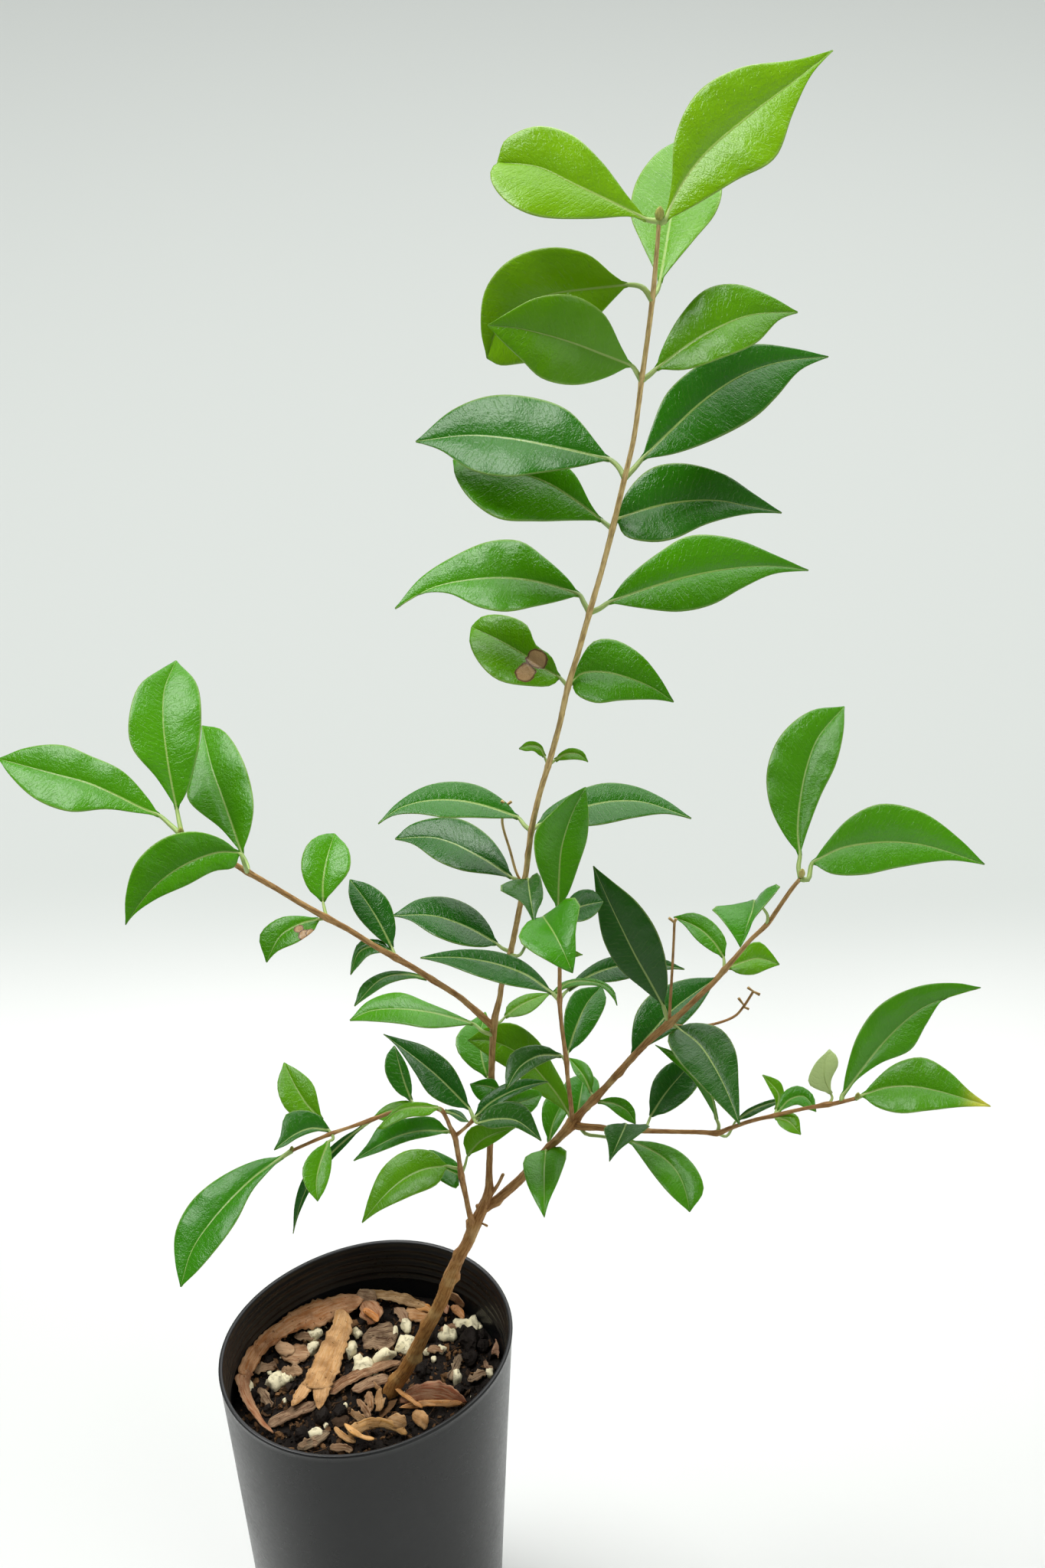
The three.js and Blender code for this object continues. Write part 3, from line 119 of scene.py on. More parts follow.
# Leaves of each stem: name, tone, lean, offset behind in mm, then the stalk, the midrib and both edges in
# pixels. A third number in a point is its depth in mm.
LEAVES = """
main_stem
top_right | young | .25 | 0 | 863,290 | 868,289 890,242 922,200 980,150 1038,106 1088,66 | 877,240 882,178
  911,121 965,89 1040,78 | 905,270 961,236 1012,207 1036,148 1060,98
top_left | young | .4 | 0 | 859,289 | 845,287 795,262 749,240 705,219 650,212 | 822,259 784,209 745,175
  700,165 659,184 652,203 | 822,283 770,286 699,282 661,263 642,238 641,222
top_behind | behind | .9 | 2 | 857,388 859,378 | 862,368 872,310 884,240 893,180 | 850,343 836,313 824,282
  830,240 858,200 | 878,348 907,313 936,276 943,240 922,200
upper_round_left | lime | -.1 | 0 | 852,392 840,376 | 820,372,2 772,377,4 726,383,6 685,396,8
  655,418,9 636,468,10 | 800,358 768,332 718,323 665,340 634,378 628,430 | 799,394 775,420 745,450
  710,470 680,475 652,477
upper_front_left | bright | -.3 | 0 | 838,497 832,487 | 824,477,-5 788,463,-8 749,448,-11 705,435,-13
  672,428,-14 637,425,-15 | 811,452 788,409 749,386 703,388 665,407 | 790,494 749,503 707,494 680,469
  655,445
upper_right | bright | .5 | 0 | 838,497 848,490 | 857,482 903,448 934,430 980,412 1042,408 | 863,460
  888,413 922,378 960,371 1005,386 | 895,483 942,468 988,448 1018,418
second_right | deep | .45 | 0 | 816,624 828,612 | 838,600 876,563 922,521 972,489 1020,473 1082,466 |
  851,559 872,512 922,471 980,450 1038,455 | 884,592 940,571 988,544 1015,518 1045,484
second_left | deep | .55 | 0 | 816,624 807,609 | 796,600 749,589 711,581 665,573 610,569 543,577 | 784,584
  742,536 695,519 640,517 590,536 | 760,609 711,617 660,623 615,614 575,588
third_left | fresh | .5 | 4 | 800,691 | 786,680 749,652 711,629 655,612 592,601 | 772,659 745,613 700,596
  640,592 | 750,680 700,681 650,677 612,650 594,620
third_right | deep | .5 | 0 | 800,691 | 806,679 835,668 880,657 935,654 980,662 1021,670 | 818,644 850,612
  890,605 945,619 985,645 | 815,699 850,708 880,704 925,684 980,671
fourth_left | fresh | .55 | 0 | 770,800 763,788 | 757,777 725,766 690,758 655,755 610,758 565,768 516,795
  | 743,757 710,727 680,707 640,707 590,728 548,756 | 735,784 700,792 660,799 625,793 585,775 548,776
fourth_right | fresh | .5 | 0 | 770,800 783,795 | 795,787 845,769 900,753 963,742 1013,740 1056,745 |
  817,757 863,720 900,700 957,703 1013,725 | 835,794 887,799 930,790 970,768 1010,750
spotted_left | bright | .5 | 0 | 742,897 | 731,885 708,872 687,857 655,838 616,819 | 720,857 700,842
  688,816 655,803 628,806 | 722,895 690,896 650,888 625,865 613,838
fifth_right | fresh | .5 | 0 | 742,897 | 747,892 760,880 790,878 825,887 855,900 880,917 | 757,863 775,838
  800,835 835,853 862,885 | 752,906 777,918 810,915 855,914
tiny_left | bright | .5 | 0 | 716,1000 | 711,988 705,977 692,974 678,978 | 709,976 700,969 688,969 |
  705,987 697,981 686,981
tiny_right | bright | .5 | 0 | 716,1000 | 725,993 740,985 755,985 768,995 | 730,985 745,977 762,982 |
  735,993 750,992 760,993
sixth_left | deep | .9 | 0 | 694,1085 686,1079 | 677,1068 647,1057 613,1048 580,1045 547,1048 520,1057
  494,1076 | 662,1049 630,1028 597,1021 558,1026 520,1048 | 650,1069 613,1068 580,1068 545,1063 515,1065
sixth_right | deep | .9 | 3 | 694,1085 | 703,1078 735,1062 767,1053 800,1047 840,1048 903,1069 | 710,1062
  745,1038 787,1023 830,1027 870,1045 | 735,1080 780,1078 830,1068 870,1063
seventh_left | dark | .8 | 0 | 685,1152 | 668,1146 640,1127 613,1112 590,1101 563,1094 516,1096 | 660,1122
  638,1092 605,1071 570,1068 535,1078 | 640,1142 603,1137 570,1124 540,1103
eighth_left | dark | .9 | 0 | 667,1243 657,1239 | 649,1233 620,1216 590,1203 563,1196 513,1196 | 640,1210
  620,1187 585,1172 545,1175 | 635,1237 600,1234 565,1221 535,1202
ninth_left | fresh | .95 | 0 | 645,1352 632,1348,-2 | 618,1337 590,1329 560,1322 517,1318 483,1321
  457,1333 | 600,1327 560,1310 520,1296 480,1308 | 600,1340 560,1343 520,1337 483,1334
ninth_small_right | bright | .9 | 2 | 646,1336 653,1335 | 660,1328 677,1315 695,1306 718,1298 | 662,1314
  683,1300 702,1297 | 675,1328 692,1323 706,1312
behind_round | olive | .7 | 4 | 642,1412 | 637,1407 630,1385 627,1355 634,1322 | 615,1394 597,1372
  596,1354 612,1336 | 645,1396 648,1370 645,1345
inner_green | green | .2 | -4 | 643,1432 | 655,1425 638,1419 614,1416 | 645,1409 630,1410 | 645,1440
  628,1438 618,1427
seventh_front | grey | .6 | 0 | 685,1152 | 690,1148,-4 692,1168,-9 695,1188,-12 698,1208,-15 | 668,1150
  651,1160 664,1169 681,1178 692,1195 | 703,1140 709,1160 709,1175 702,1190
eighth_front | greygreen | .6 | 0 | 667,1247 678,1248,-5 690,1228,-14 | 709,1197,-24 722,1216,-29
  735,1241,-33 748,1271,-35 | 690,1203 677,1226 690,1240 715,1255 735,1266 | 725,1186 745,1171 757,1178
  752,1215 752,1250
centre_twig
twig_bud_leaf | bright | .6 | 0 | 731,1252 | 735,1250 747,1246 761,1247 | 747,1241 | 748,1251
twig_front_up | fresh | -.05 | 0 | 728,1198 | 729,1187 730,1150 733,1110 741,1080 752,1052 765,1028 |
  713,1160 699,1120 700,1085 725,1057 750,1035 | 741,1170 756,1130 767,1095 769,1065 767,1045
twig_back_right | dark | 1 | 2 | 728,1199 | 738,1197 755,1186 772,1181 788,1178 | 744,1173 757,1163
  775,1163 | 752,1204 768,1201 781,1191
twig_long_left | dark | .9 | 0 | 731,1307 | 721,1297 690,1275 661,1263 634,1256 600,1251 549,1251 |
  708,1277 683,1255 650,1243 605,1240 570,1245 | 700,1293 660,1286 620,1274 580,1259
twig_long_right | dark | .9 | 8 | 731,1305 | 742,1293 770,1275 800,1264 840,1258 894,1266 | 753,1277
  785,1254 820,1247 865,1252 | 765,1285 804,1282 845,1272 877,1266
twig_curl_right | olive | 1 | 8 | 731,1303 | 724,1297 745,1283 775,1283 797,1292 806,1313 | 730,1286
  755,1278 785,1281 802,1294 | 735,1292 760,1287 785,1289 800,1303
twig_up_right | deep | .6 | 2 | 740,1386 | 742,1374 753,1340 767,1310 786,1288 | 737,1350 738,1320
  752,1294 | 760,1362 782,1332 792,1305
twig_folded_left | grey | .7 | 0 | 740,1388 | 733,1379 705,1379 680,1393 661,1423 | 715,1367 688,1366
  666,1378 660,1402 | 720,1384 698,1395 676,1411
right_branch
fork_long_left | behind | .1 | 0 | 748,1466 | 743,1455 728,1430 712,1410 692,1388 664,1368 637,1359
  611,1359 | 742,1430 725,1395 700,1356 668,1336 632,1343 | 725,1442 695,1423 668,1399 640,1381 620,1366
fork_behind | green | .7 | 3 | 750,1466 | 753,1460 757,1438 763,1404 | 738,1440 735,1420 745,1408 |
  770,1450 783,1425 779,1408
fork_small_left | fresh | .6 | 0 | 776,1436 | 772,1427 762,1405 743,1382 | 762,1415 750,1401 | 776,1410
  768,1391 756,1384
fork_small_right | fresh | .6 | 0 | 776,1436 | 781,1439 803,1442 820,1452 830,1468 | 797,1433 817,1436
  829,1450 | 793,1445 808,1457 821,1465
branch_behind | dark | .7 | 3 | 826,1381 | 826,1377 850,1350 880,1318 936,1277 | 825,1355 831,1323
  852,1297 895,1279 | 850,1364 885,1344 910,1320 925,1298
big_front_up | greydark | -.4 | 0 | 874,1337 870,1326 | 866,1313 848,1280 831,1250 812,1212 794,1174
  775,1131 | 840,1292 808,1264 788,1228 780,1185 777,1155 | 872,1290 869,1250 856,1212 832,1178 800,1151
big_front_down | greydark | .8 | 0 | 874,1337 | 884,1342 912,1363 931,1390 949,1425 966,1469 | 872,1355
  882,1380 910,1412 945,1448 | 905,1336 940,1343 960,1370 965,1420
branch_folded | fresh | .5 | 0 | 946,1267 | 945,1250 932,1230 912,1212 880,1198 | 930,1243 910,1228
  893,1208 | 949,1230 930,1203 905,1192
branch_short_right | bright | .6 | 0 | 946,1267 | 951,1264 970,1257 990,1252 1018,1260 | 960,1252 975,1235
  992,1230 1008,1245 | 965,1272 985,1273 1000,1267
branch_front | greygreen | .6 | 0 | 1002,1207 1002,1194,-3 | 986,1176,-6 983,1190,-10 976,1210,-14
  967,1237,-18 | 955,1182 929,1186 940,1198 955,1218 | 1002,1160 1021,1154 1003,1178 986,1198 976,1222
end_up | fresh | .5 | 0 | 1046,1146 1043,1133 | 1045,1117 1042,1085 1046,1040 1055,998 1069,963 1103,923 |
  1025,1092 1005,1050 1002,1005 1020,960 1060,928 | 1055,1085 1072,1040 1092,998 1102,955
end_right | fresh | .5 | 0 | 1046,1148 1055,1149 | 1061,1127 1096,1109 1131,1102 1167,1100 1210,1105
  1286,1129 | 1080,1100 1110,1068 1150,1050 1205,1061 1255,1097 | 1085,1141 1125,1143 1175,1133 1240,1124
branch_hanging | fresh | .9 | 0 | 718,1498 | 713,1503 711,1530 711,1560 711,1590 | 697,1505 684,1514
  687,1542 700,1571 | 728,1497 740,1503 731,1538 717,1570
branch_upright | olive | .6 | 3 | 718,1498 | 717,1492 722,1468 735,1438 | 708,1465 710,1440 722,1425 |
  733,1468 742,1448
right_lower_branch
low_big_down | fresh | .7 | 0 | 757,1471 765,1481 784,1484 | 821,1490 842,1498 866,1512 883,1529 894,1552
  901,1583 | 856,1492 888,1504 912,1530 919,1556 | 833,1506 853,1534 873,1558 890,1574
low_folded_front | grey | .6 | 0 | 800,1475 806,1472,-2 | 818,1468,-5 812,1482,-8 796,1517,-14 | 800,1468
  789,1473 794,1495 | 835,1469 850,1469 830,1486 808,1503
low_up | dark | .6 | 2 | 842,1477 846,1468 | 850,1458 868,1430 888,1406 905,1388 | 848,1438 855,1408
  878,1387 | 872,1453 903,1430 914,1410
low_edge_on | olive | .15 | 0 | 937,1480 939,1470 | 936,1462 929,1430 912,1405 890,1385 872,1373 856,1365
  | 934,1440 915,1404 885,1376 | 927,1446 904,1410 876,1384
low_thin_right | grey | .5 | 2 | 937,1481 949,1484 | 962,1463 985,1449 1010,1440 1030,1436 | 973,1451
  995,1440 1015,1435 | 975,1461 998,1450 1018,1441
low_small_below | bright | .7 | 0 | 1012,1457 | 1013,1460 1030,1465 1046,1482 | 1026,1452 1042,1458 |
  1018,1470 1032,1479
low_small_up | bright | .5 | 2 | 1012,1457 | 1014,1449 1017,1430 996,1404 | 1024,1437 1020,1414 1008,1407
  | 1012,1436 1003,1418
low_curled | greygreen | .6 | 0 | 1012,1457 | 1017,1452 1032,1436 1050,1432 1066,1452 | 1022,1428
  1042,1418 1062,1430 | 1028,1447 1042,1443 1055,1449
low_pale | pale | .2 | 0 | 1082,1443 1087,1434 | 1085,1428 1077,1410 1076,1392 1083,1371 | 1070,1424
  1056,1415 1064,1390 | 1086,1410 1095,1390 1092,1378
low_end_up | fresh | .4 | 0 | 1100,1439 | 1100,1432 1124,1399 1153,1363 1181,1335 1210,1314 1281,1290 |
  1105,1400 1121,1350 1150,1312 1200,1288 1250,1284 | 1119,1411 1150,1389 1190,1371 1210,1338 1235,1303
low_end_right | tipyellow | .5 | 0 | 1117,1435 | 1126,1431 1156,1421 1189,1419 1224,1425 1260,1435
  1294,1445 | 1139,1415 1168,1390 1205,1381 1238,1398 1268,1426 | 1143,1445 1174,1454 1210,1451 1255,1446
left_lower_branch
low_left_up | bright | .5 | 3 | 432,1481 427,1472 | 421,1463 402,1444 387,1421 371,1388 | 400,1464
  374,1450 362,1418 | 417,1445 409,1416 390,1398
low_left_folded | deep | .7 | 0 | 432,1481 | 429,1476 405,1474 385,1482 358,1502 | 421,1460 398,1450
  373,1456 366,1485 | 412,1478 390,1486 372,1497
low_left_end | green | .6 | 0 | 381,1503 | 369,1511 335,1535 305,1563 275,1597 251,1633 236,1681 |
  340,1514 290,1536 250,1569 229,1610 229,1650 | 352,1529 330,1555 306,1600 262,1656
low_left_hanging | mottled | .6 | 0 | 434,1481 435,1488 | 429,1491 418,1520 413,1545 415,1569 | 408,1504
  395,1527 400,1552 | 433,1505 432,1530 424,1555
low_left_edge_on | dark | -.1 | 2 | 484,1463 | 474,1471 450,1490 425,1515 404,1545 391,1577 383,1611 |
  449,1484 421,1508 396,1538 385,1572 | 454,1494 431,1518 409,1548 391,1585
low_left_behind | bright | .8 | 3 | 546,1448 | 545,1446 515,1449 488,1460 | 535,1438 510,1441 496,1450 |
  530,1460 508,1465
low_left_upright | deep | .5 | 2 | 546,1448 | 537,1437 527,1410 515,1366 | 519,1427 503,1400 505,1378 |
  538,1418 532,1393 522,1375
low_left_thin | dark | .8 | 2 | 576,1450 | 581,1451 596,1456 612,1465 | 590,1449 603,1453 | 590,1457
  602,1465
low_left_inner | bright | .6 | -3 | 576,1450 | 572,1447 545,1446 520,1451 493,1474 | 560,1441 535,1440
  517,1447 503,1462 | 560,1457 535,1459 515,1467 500,1475
low_left_broad | green | .7 | 0 | 591,1479 | 585,1478 553,1477 523,1483 493,1497 462,1516 | 568,1460
  530,1461 498,1468 480,1494 | 568,1483 535,1490 495,1505
low_left_bright | bright | .6 | 0 | 600,1527 592,1525 | 584,1523 555,1527 529,1539 502,1562 473,1597 |
  565,1504 530,1503 500,1525 482,1563 | 572,1546 535,1563 495,1582
low_left_under | green | .8 | 3 | 603,1536 | 599,1535 578,1525 556,1512 | 598,1520 580,1508 560,1502 |
  598,1552 580,1545 562,1530
twiglet_big_left | dark | .5 | 0 | 619,1462 | 613,1448 590,1424 566,1401 535,1376 501,1351 | 590,1445
  561,1430 541,1400 518,1367 | 607,1424 588,1389 555,1366 525,1357
twiglet_bright_right | bright | .1 | 0 | 603,1535 608,1520 | 611,1509 628,1490 648,1480 673,1473 |
  605,1490 616,1472 645,1468 | 630,1501 650,1490
twiglet_grey_right | grey | .7 | -3 | 619,1462 | 624,1467 645,1462 672,1463 690,1474 707,1490 | 636,1448
  665,1438 688,1446 701,1472 | 640,1474 670,1472 692,1482
twiglet_dark_right | dark | .6 | 0 | 619,1461 | 622,1458 640,1441 665,1427 690,1418 716,1413 | 626,1440
  650,1420 685,1409 | 638,1452 662,1437 692,1422
twiglet_small_right | olive | .6 | 1 | 619,1462 | 626,1461 650,1450 680,1440 708,1430 | 650,1437 680,1424
  700,1423 | 650,1464 680,1461 700,1447
left_branch
far_left | fresh | .5 | 0 | 236,1090 222,1077 | 208,1065 180,1053 150,1038 115,1023 67,1010 -2,991 |
  193,1042 160,1007 120,988 80,973 33,977 | 180,1062 140,1057 90,1060 45,1043 12,1012
far_left_up | fresh | .4 | 0 | 238,1091 234,1073 | 231,1057 223,1018 217,980 213,940 215,900 230,863 |
  205,1017 172,976 168,940 182,895 212,873 | 243,1037 257,990 263,945 257,893
left_up | fresh | .55 | 3 | 325,1139 322,1127 | 316,1115 303,1077 290,1040 277,1003 264,948 | 290,1084
  245,1043 250,1010 262,968 | 328,1080 331,1045 316,990 290,953
left_drooping | fresh | 0 | -7 | 323,1138 318,1126 | 313,1114 287,1113 260,1121 233,1134 207,1153
  185,1177 164,1208 | 290,1096 255,1086 215,1094 178,1126 164,1170 | 306,1133 280,1138 245,1156 205,1174
  177,1193
left_round_up | fresh | .5 | 0 | 427,1199 424,1188 | 422,1178 422,1150 428,1118 437,1089 | 403,1162
  393,1130 402,1102 420,1090 | 439,1160 457,1135 455,1108
left_lesion | fresh | .6 | 0 | 427,1199 | 416,1201 392,1207 367,1222 348,1257 | 400,1197 365,1199 339,1222
  | 412,1213 390,1230 362,1243
left_dark_up | dark | .5 | 0 | 517,1251 | 512,1238 497,1208 480,1180 457,1149 | 490,1222 463,1191 455,1165
  | 517,1212 506,1174 480,1154
left_folded | deep | .7 | 0 | 515,1250 | 510,1243 490,1236 470,1243 458,1273 | 500,1229 470,1230 460,1252
  | 500,1244 482,1248 468,1262
left_arching | deep | 1 | 0 | 565,1280 | 558,1278 530,1273 500,1278 463,1314 | 540,1271 505,1269 473,1286
  | 535,1278 508,1285 482,1301
"""

# Litter: name, tone, then two edges, x, y in pixels and height in mm above the pot's base.
# brown_flake's second, paler sheet is partly the flake's own colour and partly a painted highlight where
# the crumpled flake catches the light.
LITTER = """
stick | #56392a | 354,1868,102.8 380,1854,103 416,1839,102.8 | 347,1857,102.8 372,1842,103 409,1828,102.8
brown_strip | #6b452a | 530,1781,102.8 500,1790,103 462,1806,103 430,1826,102.8 | 511,1776,102.8
  482,1781,103 452,1795,102.8 426,1812,102.8
brown_strip | #56331f | 512,1806,103.2 488,1812,103.6 462,1822,103.2 | 505,1793,103.2 480,1800,103.4
  458,1812,103.2
brown_flake | #7d5a3c | 366,1762,102.6 385,1756,103 408,1759,102.6 | 366,1776,102.4 388,1781,102.8
  404,1776,102.4
brown_flake | #9c7d62 | 358,1756,104 368,1752,104.6 383,1757,104.2 | 362,1768,103.2 374,1771,103.6
  386,1768,103.4
dark_bark_chip | #432d20 | 476,1738,103 500,1728,103.8 517,1731,103 | 472,1758,102.4 498,1763,102.6
  520,1754,102.4
ochre_leaf | #8f5f28 | 530,1708,103.4 545,1700,104.4 564,1706,103.6 | 530,1722,102.6 548,1728,103
  567,1724,102.8
ochre_leaf | #b07b38 | 541,1704,105 556,1703,105.4 570,1712,104.6 | 545,1713,104 557,1713,104.4
  568,1722,104
leaf_tongue | #7c4f2a | 584,1687,108 598,1688,108 609,1697,107 | 586,1697,105 597,1704,104.4
  607,1710,104.4
leaf_tongue | #a06a37 | 588,1704,105.4 599,1705,105.6 608,1716,105 | 590,1713,103.8 598,1720,103.8
  605,1726,103.6
front_dark_chip | #33271f | 387,1888,102.6 408,1877,103 428,1866,102.6 | 390,1897,102.4 412,1889,102.6
  432,1876,102.4
ochre_twig | #a07a45 | 439,1862,102.6 452,1873,102.8 466,1880,102.6 | 435,1868,102.6 447,1880,102.8
  463,1887,102.6
leaf_scrap | #b1864f | 541,1840,104.4 553,1843,105 561,1852,104.4 | 537,1853,103 548,1864,103
  557,1869,102.8
red_bark_chip | #6d3f33 | 643,1762,103.4 652,1746,104.4 655,1762,103.4 | 641,1772,102.6 649,1768,102.8
  651,1776,102.6
gum_leaf_strip | #84683f | 561,1705,103.6 545,1697,104 525,1688,104.4 485,1685,105 462,1690,105.2 |
  559,1711,103 536,1706,103 514,1700,103.2 486,1697,103.8 462,1704,104.2
gum_leaf_strip | #9c6b43 | 478,1694,105.4 456,1690,105.4 425,1695,105.8 400,1703,106.2 372,1714,106.4
  345,1731,106.6 322,1752,107 309,1775,107 306,1797,106.6 | 470,1706,104 462,1712,103.4 440,1721,103
  420,1733,103 395,1737,103.2 370,1748,103.4 350,1762,103.6 338,1780,103.6 331,1797,103.6
gum_leaf_strip | #83502f | 306,1790,106.6 309,1808,106 316,1826,105.2 327,1844,104.4 340,1860,103.6
  356,1873,103 | 333,1790,103.8 326,1806,103.6 328,1822,103.4 335,1838,103.2 345,1856,103 358,1871,102.8
tan_bark_strip | #ad8756 | 462,1722,106.4 458,1740,105.2 452,1760,104.6 445,1785,104.4 437,1804,104.5
  430,1818,104.6 | 441,1706,106.6 434,1728,105.4 424,1748,104.6 412,1772,104.3 399,1797,104.4
  391,1813,104.5
tan_bark_strip | #a67f4e | 410,1806,104.4 402,1822,104.5 385,1838,104.6 | 394,1804,104.4 385,1820,104.5
  378,1837,104.6
tan_bark_strip | #a67f4e | 435,1806,104.4 428,1824,104.5 419,1842,104.6 | 408,1808,104.4 409,1822,104.5
  414,1840,104.6
curled_brown_leaf | #4a2c16 | 466,1686,107 480,1683,107.2 494,1690,106.6 | 466,1700,105 476,1707,104.8
  490,1706,104.8
curled_brown_leaf | #7c4519 | 484,1697,106.4 498,1706,106 500,1721,105 | 469,1704,105 472,1718,104.4
  483,1734,103.4
curled_brown_leaf | #b8742c | 476,1707,106.6 487,1712,106.8 497,1722,106 | 473,1716,105.4 484,1721,105.6
  492,1729,105
red_brown_leaf | #8c5238 | 530,1815,104.4 550,1806,106 572,1804,106.6 592,1812,106 611,1829,104 |
  519,1836,102.8 548,1831,103.4 577,1829,103.6 608,1834,103.2
red_brown_leaf | #c08a50 | 519,1838,103.2 546,1830,104 574,1828,104.2 608,1831,103.6 | 526,1841,102.7
  550,1838,103 578,1838,103 600,1838,102.8
red_brown_leaf | #bd8848 | 515,1816,106 525,1823,106.4 538,1832,106 551,1841,105 | 518,1812,105.6
  528,1818,106 541,1828,105.4 553,1837,104.6
front_curled_leaf | #ab8345 | 452,1866,103.4 468,1856,104.8 492,1851,105.4 514,1856,105 534,1869,103.4 |
  458,1880,102.6 474,1871,103 494,1865,103.4 512,1868,103.2 529,1878,102.8
front_curled_leaf | #c79a58 | 448,1862,105 458,1872,105.4 471,1879,104.6 488,1882,103.8 | 452,1859,104.2
  462,1866,104.6 475,1874,104 490,1877,103.4
front_curled_leaf | #8d6530 | 508,1848,105.4 521,1846,106 532,1852,105.4 | 505,1861,103.6 517,1866,103.8
  530,1868,103.4
"""

# Loose husks and chips between the larger pieces: tone, then two edges as in the litter.
HUSKS = """
#9a7647 | 497,1811,104.6 501,1822,104.4 502,1838,103.6 | 489,1824,104 490,1836,103.6 494,1846,102.8
#7a5736 | 486,1816,104 488,1828,103.8 487,1842,103 | 475,1820,103.2 478,1832,103 481,1846,102.6
#8a6a44 | 456,1842,103.4 468,1843,104 478,1852,103.4 | 460,1852,102.6 470,1856,102.8 480,1858,102.6
#6b4a2e | 470,1826,103 480,1838,103.4 486,1850,103 | 464,1830,102.6 472,1842,102.6 480,1854,102.6
#5a4030 | 330,1786,103 345,1779,103.4 360,1776,103 | 333,1797,102.6 348,1791,102.8 362,1787,102.6
#6e5136 | 366,1788,103 380,1783,103.4 396,1786,103 | 368,1799,102.6 381,1797,102.8 394,1798,102.6
#4e3a2c | 342,1810,103 352,1822,103.4 358,1836,103 | 334,1816,102.6 342,1828,102.8 350,1840,102.6
#5d4331 | 384,1742,103 398,1740,103.4 412,1744,103 | 384,1750,102.6 398,1750,102.8 410,1752,102.6
#7b5a3c | 340,1712,104 345,1719,104 352,1727,103.6 | 345,1710,103.6 350,1717,103.6 356,1725,103.2
#6b4b34 | 311,1744,104 316,1750,104 322,1757,103.6 | 315,1742,103.6 320,1748,103.6 326,1755,103.2
#4a3022 | 473,1752,104.4 486,1747,104.8 500,1750,104.2 514,1746,104 | 476,1765,103.4 488,1762,103.6
  502,1765,103.4 516,1760,103.2
#5f4030 | 520,1706,103 530,1712,103.4 534,1724,103 | 512,1712,102.6 520,1720,102.6 526,1730,102.6
#6a4a38 | 575,1734,103.4 588,1729,103.6 601,1729,103.2 | 576,1740,102.8 589,1736,103 600,1735,102.8
#7b4a38 | 577,1690,105 584,1700,105 588,1712,104.4 | 571,1696,104 577,1706,104 581,1718,103.8
#3e3028 | 596,1768,103.4 590,1784,103.6 582,1800,103 | 606,1772,102.8 600,1788,103 592,1804,102.6
#57402f | 388,1884,103 400,1879,103.4 414,1880,103 | 391,1893,102.6 403,1889,102.8 416,1888,102.6
#63462f | 430,1888,103 446,1886,103.4 462,1890,103 | 432,1896,102.6 447,1895,102.8 460,1898,102.6
#4b3527 | 610,1800,103 622,1792,103.4 634,1788,103 | 612,1808,102.6 625,1802,102.8 637,1796,102.6
#56382b | 636,1776,103.4 640,1784,103.4 646,1788,103 | 630,1780,102.8 635,1788,102.8 641,1794,102.6
#6d4f36 | 556,1760,103 568,1757,103.4 580,1760,103 | 558,1768,102.6 569,1766,102.8 579,1768,102.6
#8f6c44 | 486,1800,104 492,1808,104.2 500,1813,103.8 | 482,1804,103.4 488,1812,103.4 496,1818,103.2
#5b4230 | 398,1726,103 410,1722,103.6 424,1722,103.2 | 400,1734,102.6 412,1732,102.8 424,1731,102.6
"""

# Perlite grains on the mix: x, y, width, height in pixels.
GRAINS = """
410,1743,20,12 408,1762,14,16 443,1740,8,6 467,1741,12,9 458,1765,17,22 472,1787,26,18 503,1773,28,14
490,1794,8,8 493,1807,10,14 530,1733,14,20 516,1742,10,13 530,1758,22,18 514,1798,8,8 584,1743,22,16
605,1731,24,11 627,1727,18,16 577,1762,10,9 557,1766,7,7 566,1775,6,8 640,1793,12,9 411,1873,17,11
312,1815,12,20 360,1806,24,15 372,1800,12,10 382,1797,9,8 597,1801,13,28 374,1764,12,7 352,1793,6,5
468,1776,12,9 481,1792,12,8 636,1727,9,8 541,1772,8,6 425,1861,6,5 451,1836,7,5 372,1829,6,5 345,1822,5,5
"""

# Dark lumps of bark on the mix: x, y, width, height in pixels.
LUMPS = """
615,1752,26,22 605,1738,16,12 630,1758,16,14 420,1850,20,16 444,1845,16,12 393,1875,16,16 500,1832,14,12
350,1778,14,10 388,1737,12,8 615,1775,18,14 550,1790,16,12 400,1725,12,9 560,1745,14,12 575,1725,12,9
640,1740,12,14 430,1800,12,10 330,1820,10,12 600,1815,14,10 545,1770,12,9 350,1840,12,10
"""

# Bends and scars of the trunk: x, y in pixels, side of the bump and its height in mm.
KNOBS = """
530,1765,-1,.8 585,1665,-1,.7 620,1600,1,.9 600,1640,1,.5 556,1730,1,.5 512,1800,1,.5 640,1556,-1,.4
840,1483,1,.3 1078,1443,1,.3 810,1400,-1,.3 690,1118,1,.2
"""

# Resting buds at the ends of the shoots: x, y in pixels, depth in mm, length in mm.
BUDS = """
861,283,0,2.4 1047,1143,-13,2 1120,1433,-24,1.6 716,1000,2,1.2 236,1088,-12,1.8 381,1502,-18,1.4
"""

# Brown spots: leaf, then x, y and radius in pixels.
SPOTS = """
spotted_left | 700,860,14
spotted_left | 688,880,14
left_lesion | 391,1214,7
left_lesion | 398,1221,9
left_lesion | 407,1224,7
"""
